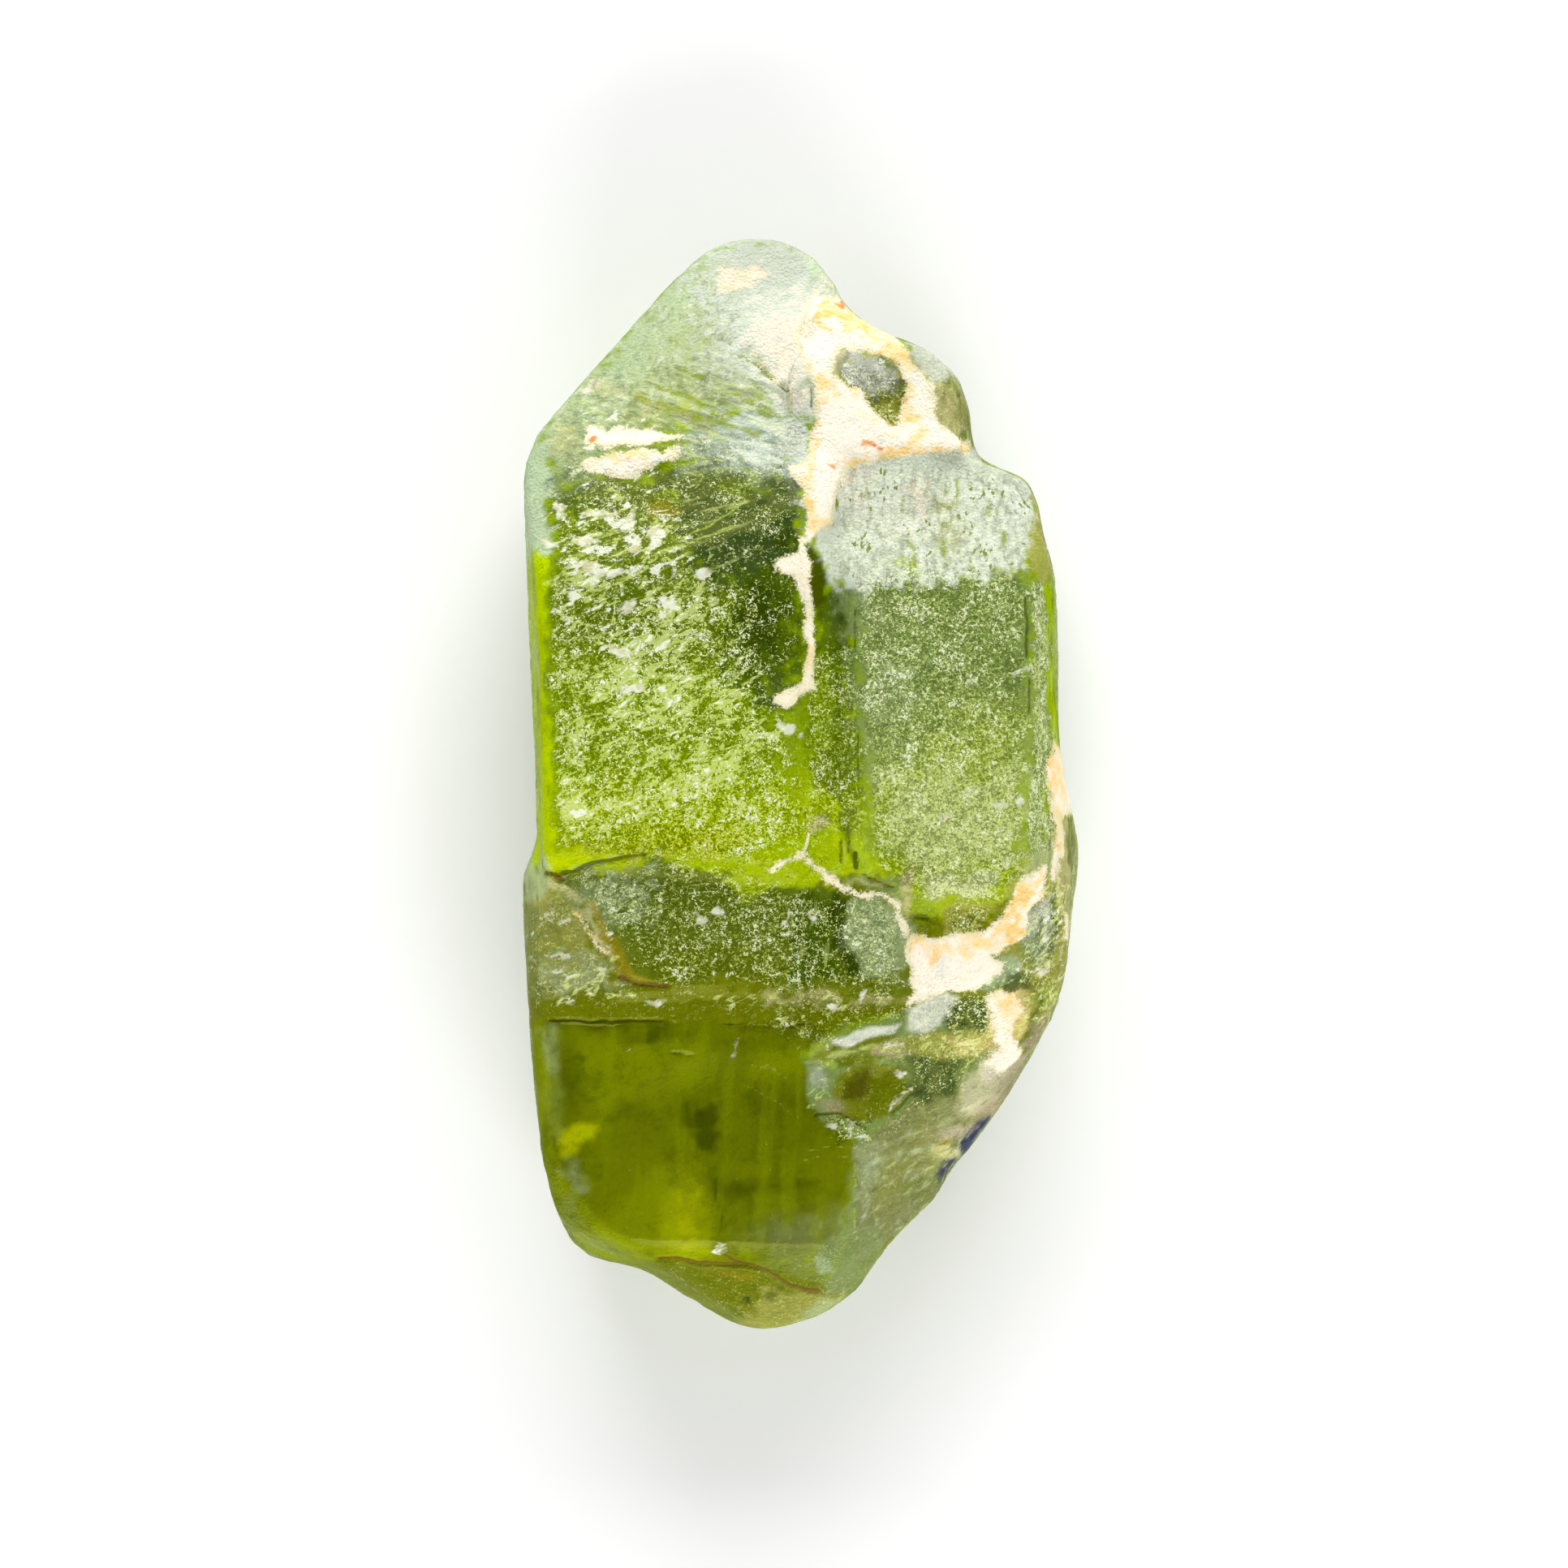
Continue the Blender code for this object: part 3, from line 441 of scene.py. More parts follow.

# The crystal's colour from above, with painted light in it: colour, mark, softness of its rim and strength. Later ones
# lie on top. The bright lime glows along the lower edges and the left rim are painted light coming through the stone,
# and the roofs and the tip carry painted sheen.
bodyMarks = (
    ("warmOlive", outline((-9.8, -2.8), (9.8, -2.8), (9.8, -18.6), (-9.8, -18.6)), 0.3, 1.0),
    ("khaki", outline((6.6, -2.6), (9.6, -0.8), (9.6, -7.0), (7.4, -8.0), (6.6, -6.0)), 0.3, 0.9),
    ("moss", outline((-8.3, 9.8), (-4.0, 10.4), (-1.2, 6.5), (-0.4, 3.4), (-8.2, 4.2)), 2.2, 0.9),
    # Painted light: the bright lime glow where light comes out at the lower edge of the big crystal, and along the
    # left rim
    ("glowingLime", outline((-8.4, 0.2), (0.4, 0.4), (1.4, -2.9), (-8.5, -3.1)), 2.2, 0.95),
    ("glowingYellowLime", line(0.5, (-8.3, -2.5), (-5.0, -2.2), (-2.0, -2.0)), 0.9, 0.8),
    ("glowingLime", outline((-9.4, 7.45), (-8.35, 7.4), (-8.1, -2.6), (-9.4, -2.6)), 0.3, 0.95),
    # Painted sheen: the roof and the tip are the pale frosted stone with the soft light's sheen painted into their
    # sage, mint, grey, milky and blue-grey tones
    ("sage", outline((-9.4, 10.8), (-3.0, 18.4), (1.8, 18.4), (0.6, 11.6), (-1.0, 12.2), (-3.6, 11.9),
                     (-7.4, 9.6)), 1.4, 0.95),
    ("mint", line(0.6, (-8.6, 10.6), (-5.7, 13.9), (-3.4, 16.8)), 1.4, 0.6),
    ("mint", outline((-9.4, 11.4), (-8.1, 11.2), (-8.3, 7.45), (-9.4, 7.4)), 0.3, 0.95),
    ("tipGrey", outline((-3.6, 16.4), (-2.2, 18.4), (0.6, 18.4), (1.8, 16.0), (-1.4, 16.1)), 1.0, 0.9),
    ("tipGrey", outline((-3.4, 15.6), (-2.6, 17.4), (-0.5, 18.2), (1.8, 16.6), (0.6, 12.2), (-2.2, 12.4),
                        (-3.2, 13.8)), 1.6, 0.8),
    ("milkySheen", outline((-2.4, 15.4), (-1.4, 16.4), (0.4, 16.8), (1.2, 15.6), (0.4, 12.2), (-0.9, 12.2),
                     (-2.6, 13.8)), 1.6, 0.5),
    ("mint", outline((0.2, 17.7), (1.4, 17.2), (2.1, 16.0), (1.3, 16.0), (0.4, 16.9)), 0.7, 0.8),
    ("greyBlue", outline((-3.6, 12.0), (-0.4, 12.2), (0.1, 10.4), (-0.2, 9.4), (-3.8, 10.2)), 1.0, 0.8),
    ("khaki", line(0.14, (-5.4, 12.6), (-3.9, 12.1), (-2.9, 11.5)), 0.3, 0.6),
    ("hazy", line(0.12, (-4.9, 13.4), (-3.4, 12.9), (-2.6, 12.4)), 0.25, 0.6),
    ("hazy", line(0.16, (-3.6, 13.4), (-2.2, 13.0), (-1.4, 12.6)), 0.25, 0.6),
    ("hazy", line(0.1, (-2.6, 12.5), (-1.2, 12.0), (-0.6, 11.6)), 0.2, 0.6),
    ("khaki", line(0.08, (-1.8, 14.2), (-0.9, 13.6), (-0.4, 12.9)), 0.15, 0.8),
    ("blush", outline((-1.2, 15.4), (-0.5, 15.8), (1.4, 16.0), (1.6, 14.0), (0.6, 12.8), (-0.7, 13.4),
                      (-1.4, 14.4)), 1.2, 0.95),
    ("peach", outline((-2.7, 16.95), (-1.9, 17.0), (-1.3, 17.25), (-1.0, 17.1), (-1.6, 16.5), (-2.4, 16.2),
                      (-2.8, 16.35)), 0.3, 0.9),
    ("blush", line(0.1, (-2.5, 16.7), (-2.0, 16.6), (-1.5, 16.9)), 0.3, 0.8),
    ("flakeWhite", oval((-6.8, 12.95), (0.4, 0.16), 48), 0.2, 0.9),
    ("blush", oval((-0.35, 12.6), (0.5, 0.45), 20), 0.4, 0.8),
    ("beige", oval((-6.3, 12.9), (0.5, 0.36), -20), 0.4, 0.6),
    ("beige", oval((-5.1, 11.95), (0.5, 0.26)), 0.4, 0.6),
    ("beige", oval((-7.7, 11.2), (0.4, 0.5)), 0.5, 0.5),
    # Painted sheen on the roof beside the seam
    ("milkySheen", oval((-0.35, 11.2), (0.5, 0.9), 15), 0.4, 0.9),
    # Partly painted shade: the darker forest and moss greens down the valley beside the seam, where the face slopes
    # away from the light
    ("forest", outline((-4.6, 10.2), (-0.1, 9.9), (0.0, 6.6), (-1.2, 5.2), (-3.0, 6.6), (-4.2, 8.2)), 0.9, 1.0),
    ("deepMoss", outline((-2.6, 6.9), (-0.1, 7.2), (0.1, 4.0), (-0.9, 2.7), (-2.4, 3.6)), 1.0, 0.95),
    ("darkGreen", outline((-2.0, 6.4), (-1.2, 6.5), (-0.6, 5.7), (-0.9, 4.2), (-1.9, 4.5)), 0.5, 0.95),
    ("darkGreen", oval((-0.6, 7.9), (0.55, 0.35)), 0.4, 0.9),
    ("forest", outline((-1.1, 3.6), (0.0, 3.2), (-0.2, 2.4), (-1.4, 2.6)), 0.5, 0.5),
    ("forest", outline((-8.0, 9.9), (-4.6, 10.2), (-4.0, 8.4), (-6.4, 8.6), (-8.0, 9.1)), 0.8, 0.6),
    ("moss", oval((-2.3, 9.45), (0.55, 0.24)), 0.3, 0.7),
    ("gold", oval((-4.6, 8.95), (0.4, 0.42)), 0.4, 0.7),
    ("deepMoss", outline((0.3, 6.2), (1.8, 6.4), (1.85, 4.0), (0.4, 4.0)), 0.5, 0.85),
    ("forest", outline((0.85, 6.4), (1.9, 6.4), (1.9, 4.9), (0.9, 4.9)), 0.4, 0.7),
    ("darkGreen", outline((1.2, 5.8), (1.6, 5.8), (1.6, 5.1), (1.2, 5.1)), 0.12, 0.9),
    ("darkGreen", oval((1.3, 4.25), (0.33, 0.42)), 0.25, 0.8),
    ("moss", outline((0.3, 4.2), (1.9, 4.2), (1.9, -0.6), (0.4, -0.6)), 0.8, 0.9),
    ("lime", outline((0.5, 3.4), (1.2, 3.6), (1.2, 1.4), (0.5, 1.2)), 0.6, 0.8),
    ("deepMoss", line(0.1, (0.9, 5.8), (0.95, 4.4), (1.4, 3.2), (1.5, 2.0)), 0.3, 0.6),
    # Painted light: the bright lime glow at the foot of the central strip, by the ledge
    ("glowingLime", outline((0.1, -0.4), (1.9, -0.4), (2.3, -3.0), (0.3, -2.9)), 0.6, 0.85),
    ("deepMoss", line(0.14, (0.95, -0.3), (1.5, -0.9), (1.55, -2.4)), 0.2, 0.7),
    ("glowingYellowLime", line(0.08, (1.4, -1.9), (1.42, -2.7), (1.9, -2.95)), 0.1, 0.8),
    ("beige", oval((0.6, -1.35), (0.42, 0.26), 10), 0.2, 0.85),
    ("greyGreen", outline((1.85, 7.0), (7.5, 7.0), (7.5, 0.2), (1.85, 0.2)), 0.5, 0.95),
    ("leaf", outline((2.2, 1.2), (7.3, 2.6), (7.3, -3.2), (2.2, -2.6)), 2.6, 0.75),
    ("greyGreen", outline((2.0, 3.8), (4.0, 3.6), (3.6, 0.6), (2.0, 0.8)), 1.4, 0.6),
    ("flakePale", outline((2.6, 0.2), (7.2, 0.2), (7.2, -2.9), (3.4, -3.2)), 1.4, 0.55),
    # Painted light: the bright lime glow along the lower edge of the right crystal
    ("glowingLime", outline((2.0, -2.0), (3.6, -2.9), (7.0, -2.7), (6.3, -4.0), (4.8, -4.4), (3.6, -4.1),
                           (2.6, -3.1)), 0.4, 0.9),
    ("lime", oval((4.0, -3.9), (0.45, 0.5)), 0.3, 0.8),
    ("flakePale", outline((3.7, -3.0), (6.4, -2.9), (6.0, -3.6), (4.2, -3.8)), 0.4, 0.95),
    ("khaki", outline((4.7, -3.95), (6.0, -3.9), (5.9, -4.8), (4.7, -4.7)), 0.15, 0.9),
    ("deepMoss", line(0.08, (5.0, -4.4), (5.7, -4.2)), 0.15, 0.5),
    ("gold", line(0.06, (3.7, -4.75), (4.6, -4.95), (5.6, -4.85), (6.2, -4.4)), 0.15, 0.7),
    ("frostGreen", outline((1.2, 6.6), (3.0, 6.6), (2.8, 4.8), (1.5, 4.6)), 0.8, 0.7),
    # Painted sheen: the milky roof of the right crystal
    ("roofSheen", outline((0.8, 10.8), (3.4, 11.0), (5.8, 11.2), (7.2, 10.5), (7.6, 10.0), (7.6, 8.1), (7.4, 7.2),
                     (6.0, 6.6), (3.1, 6.4), (1.5, 6.2), (0.8, 6.8), (0.35, 7.8), (0.3, 9.6)), 0.5, 0.95),
    ("blush", outline((0.6, 10.4), (2.4, 10.4), (1.9, 9.2), (0.8, 8.6)), 0.8, 0.8),
    ("darkOlive", outline((0.1, 7.7), (0.6, 7.3), (0.95, 6.4), (0.8, 5.6), (0.25, 5.6)), 0.2, 1.0),
    ("flakeWhite", oval((2.8, 8.9), (0.8, 0.8), 20), 1.0, 0.6),
    ("blush", oval((3.85, 9.1), (0.3, 0.7), -15), 0.5, 0.7),
    ("khaki", oval((4.9, 8.5), (0.35, 0.9), 10), 0.5, 0.5),
    ("leaf", line(0.12, (3.2, 7.1), (3.7, 6.9), (3.9, 6.5)), 0.3, 0.7),
    ("sage", outline((7.5, 6.6), (8.1, 6.4), (8.1, -2.8), (7.5, -2.8)), 0.2, 0.6),
    ("rimLime", outline((8.05, 6.8), (8.9, 6.2), (8.8, 1.6), (8.1, 1.2)), 0.2, 0.95),
    ("khaki", outline((7.4, 10.1), (8.2, 9.4), (8.5, 7.4), (8.2, 6.5), (7.5, 6.8)), 0.25, 0.85),
    ("hazy", outline((4.5, 13.3), (5.6, 13.4), (6.1, 11.2), (5.6, 10.9), (4.7, 11.4), (4.3, 12.4)), 0.3, 1.0),
    ("beige", outline((4.3, 13.0), (5.5, 12.9), (5.5, 11.4), (4.4, 11.5)), 0.4, 0.9),
    ("warmOlive", outline((5.0, 13.3), (5.8, 12.4), (5.8, 11.2), (5.15, 11.4)), 0.25, 0.7),
    ("pale", outline((3.0, 15.4), (5.0, 14.4), (5.1, 13.4), (4.4, 12.8), (3.4, 13.4)), 0.4, 1.0),
    ("khaki", outline((0.8, 14.4), (3.2, 14.2), (3.8, 13.0), (3.4, 11.4), (2.2, 11.8), (0.8, 13.2)), 0.2, 0.7),
    # In the bare window, the pale grey upper part is a painted reflection and the dark olive lower part painted shade
    ("reflectionGrey", oval((2.2, 13.5), (1.15, 0.62), -25), 0.3, 0.95),
    ("darkOlive", outline((1.8, 12.9), (2.6, 12.85), (3.4, 13.2), (3.5, 12.4), (3.2, 11.7), (2.6, 12.1)), 0.3, 0.7),
    ("khaki", oval((2.85, 12.15), (0.35, 0.4)), 0.2, 0.6),
    ("darkOlive", line(0.06, (1.35, 14.2), (1.05, 13.7), (1.4, 13.1)), 0.2, 0.6),
    ("darkOlive", line(0.06, (2.7, 14.0), (3.25, 13.4), (3.4, 12.6)), 0.15, 0.7),
    # Painted shadow: the grey-green shelf under the ledge, darkened as if shaded by the step above it
    ("shelfShadowGreen", outline((-8.0, -3.15), (-6.9, -2.85), (-4.9, -2.45), (-3.0, -2.9), (1.0, -3.3), (3.4, -4.1),
                           (3.5, -6.9), (-1.0, -7.0), (-5.6, -6.4), (-6.8, -4.6)), 0.25, 1.0),
    ("olive", outline((-5.4, -5.6), (-0.4, -5.8), (3.4, -6.0), (3.4, -7.0), (-5.4, -6.9)), 0.6, 0.6),
    ("sage", oval((-6.5, -3.8), (1.5, 0.9), 20), 0.9, 0.65),
    # Painted light: the bright lime glow along the ledge
    ("glowingLime", outline((-4.6, -2.3), (-1.2, -2.2), (0.9, -2.7), (1.0, -3.35), (-1.0, -3.3), (-2.0, -3.6),
                           (-2.9, -3.0), (-3.8, -2.65)), 0.2, 0.95),
    ("deepMoss", outline((-0.2, -3.5), (1.2, -3.4), (1.2, -6.6), (-0.3, -6.6)), 0.3, 1.0),
    ("darkGreen", outline((1.15, -3.55), (1.68, -3.55), (1.78, -6.3), (1.25, -6.3)), 0.15, 1.0),
    ("frostGreen", outline((1.7, -3.8), (3.3, -4.2), (3.55, -5.4), (3.45, -6.0), (1.75, -6.4)), 0.15, 1.0),
    ("sage", oval((2.6, -5.0), (0.9, 1.3)), 0.6, 0.45),
    ("khaki", outline((-9.3, -3.6), (-8.2, -3.4), (-6.2, -5.9), (-5.6, -6.6), (-9.3, -7.2)), 0.4, 0.9),
    ("greyGreen", oval((-8.2, -4.9), (0.6, 0.9), 10), 0.7, 0.3),
    ("sage", outline((-8.6, -5.8), (-6.6, -5.6), (-5.8, -6.7), (-8.6, -6.9)), 0.5, 0.6),
    ("beige", line(0.12, (-8.2, -3.1), (-7.5, -3.7), (-7.1, -4.3), (-6.3, -5.6)), 0.2, 0.8),
    ("gold", line(0.13, (-7.0, -4.0), (-6.3, -5.05), (-5.75, -5.9), (-5.3, -6.4)), 0.15, 0.8),
    ("sage", outline((-9.3, -2.5), (-8.3, -2.5), (-8.1, -3.5), (-9.3, -4.0)), 0.3, 0.8),
    ("hazy", line(0.3, (-9.0, -4.2), (-8.8, -6.8)), 0.3, 0.8),
    ("warmOlive", outline((-9.3, -6.8), (-5.6, -6.5), (3.3, -6.95), (3.2, -7.9), (-9.3, -7.8)), 0.4, 0.95),
    ("beige", line(0.14, (-0.9, -7.05), (1.5, -7.15), (3.4, -6.95)), 0.3, 0.6),
    ("greyGreen", outline((1.0, -3.0), (2.0, -3.1), (3.0, -3.1), (3.6, -2.8), (3.75, -3.4), (3.65, -3.95),
                          (3.3, -4.1), (2.2, -3.55)), 0.15, 0.8),
    ("beige", outline((3.25, -3.1), (3.6, -2.8), (3.75, -3.4), (3.7, -4.1), (3.4, -4.2)), 0.2, 0.9),
    ("beige", line(0.06, (0.7, -2.95), (1.6, -3.25), (2.6, -3.45)), 0.15, 0.7),
    ("gold", line(0.05, (2.1, -3.2), (2.9, -3.42)), 0.1, 0.6),
)
# The clear block's colour: colour, mark, softness of its rim and strength. Its yellow and olive glows are painted
# light coming through the stone.
blockMarks = (
    ("darkOlive", line(0.2, (-8.3, -7.85), (-4.5, -7.9)), 0.3, 0.6),
    ("oliveLime", outline((-7.6, -8.3), (-3.5, -8.3), (-3.2, -10.2), (-6.8, -10.6)), 1.4, 0.8),
    ("oliveLime", outline((-1.5, -8.6), (0.2, -8.3), (0.0, -9.6), (-1.6, -9.8)), 0.8, 0.6),
    ("darkOlive", oval((-7.6, -9.7), (0.45, 1.3), -5), 0.7, 0.5),
    ("darkOlive", oval((-4.85, -8.3), (0.65, 0.25)), 0.3, 0.75),
    ("darkOlive", line(0.03, (-7.6, -8.95), (-7.3, -8.75), (-6.95, -8.85), (-7.3, -9.0)), 0.12, 0.6),
    ("darkOlive", oval((-3.6, -10.8), (0.75, 0.33), -15), 0.4, 0.7),
    ("darkOlive", oval((-3.05, -11.05), (0.5, 0.4), -20), 0.3, 0.9),
    ("darkOlive", oval((-2.95, -11.85), (0.4, 0.5), 25), 0.3, 0.9),
    ("darkOlive", oval((-1.75, -13.2), (0.6, 0.2), 5), 0.3, 0.5),
    ("darkOlive", oval((-5.6, -10.5), (0.5, 0.25), -20), 0.4, 0.3),
    ("yellowGlow", oval((-7.3, -11.6), (0.58, 0.34), 25), 0.35, 0.95),
    ("yellowGlow", oval((-7.6, -11.9), (0.35, 0.25)), 0.35, 0.6),
    ("oliveGlow", outline((-7.2, -14.4), (-4.6, -12.7), (-2.9, -12.9), (-2.5, -14.3), (-2.7, -15.7),
                          (-7.4, -15.9)), 1.1, 0.75),
    ("yellowGlow", oval((-3.7, -14.6), (0.8, 1.4), -12), 1.0, 0.65),
    ("olive", outline((-2.9, -12.8), (-2.2, -13.0), (-2.1, -14.6), (-2.6, -14.5)), 0.3, 0.7),
    ("olive", line(0.06, (-5.6, -14.9), (-5.5, -13.6)), 0.3, 0.5),
    ("olive", oval((-6.0, -13.0), (0.7, 0.6)), 0.6, 0.5),
    ("darkOlive", line(0.16, (-2.7, -13.05), (-1.4, -13.4), (-0.2, -13.15), (0.3, -13.0)), 0.5, 0.6),
    ("umber", outline((-6.9, -8.9), (-3.9, -8.8), (-3.6, -10.4), (-5.0, -11.6), (-6.6, -11.0)), 1.2, 0.12),
    ("darkOlive", oval((-0.4, -11.0), (1.3, 1.2)), 1.4, 0.25),
    ("oliveLime", line(0.3, (-8.8, -8.0), (-8.6, -11.0), (-8.0, -14.0), (-7.2, -15.6)), 0.5, 0.25),
    ("leaf", line(0.2, (-8.2, -8.1), (-8.15, -9.6), (-7.95, -11.4)), 0.6, 0.3),
    ("sage", line(0.15, (-8.25, -8.0), (-8.1, -9.4)), 0.5, 0.35),
    ("sage", line(0.1, (-7.6, -12.5), (-7.4, -13.2)), 0.5, 0.5),
    ("hazy", line(0.2, (-7.8, -13.7), (-7.5, -14.6)), 0.6, 0.6),
    # Painted shade darkening the lower left bevel
    ("darkOlive", line(0.3, (-8.7, -13.4), (-8.0, -15.2), (-6.8, -16.1), (-5.2, -16.2)), 0.7, 0.45),
    ("hazy", outline((-1.7, -14.7), (1.8, -13.8), (1.8, -16.8), (-0.6, -16.2)), 1.2, 0.75),
    ("olive", line(0.14, (-7.0, -15.55), (-3.0, -15.5), (0.4, -15.6)), 0.3, 0.4),
)
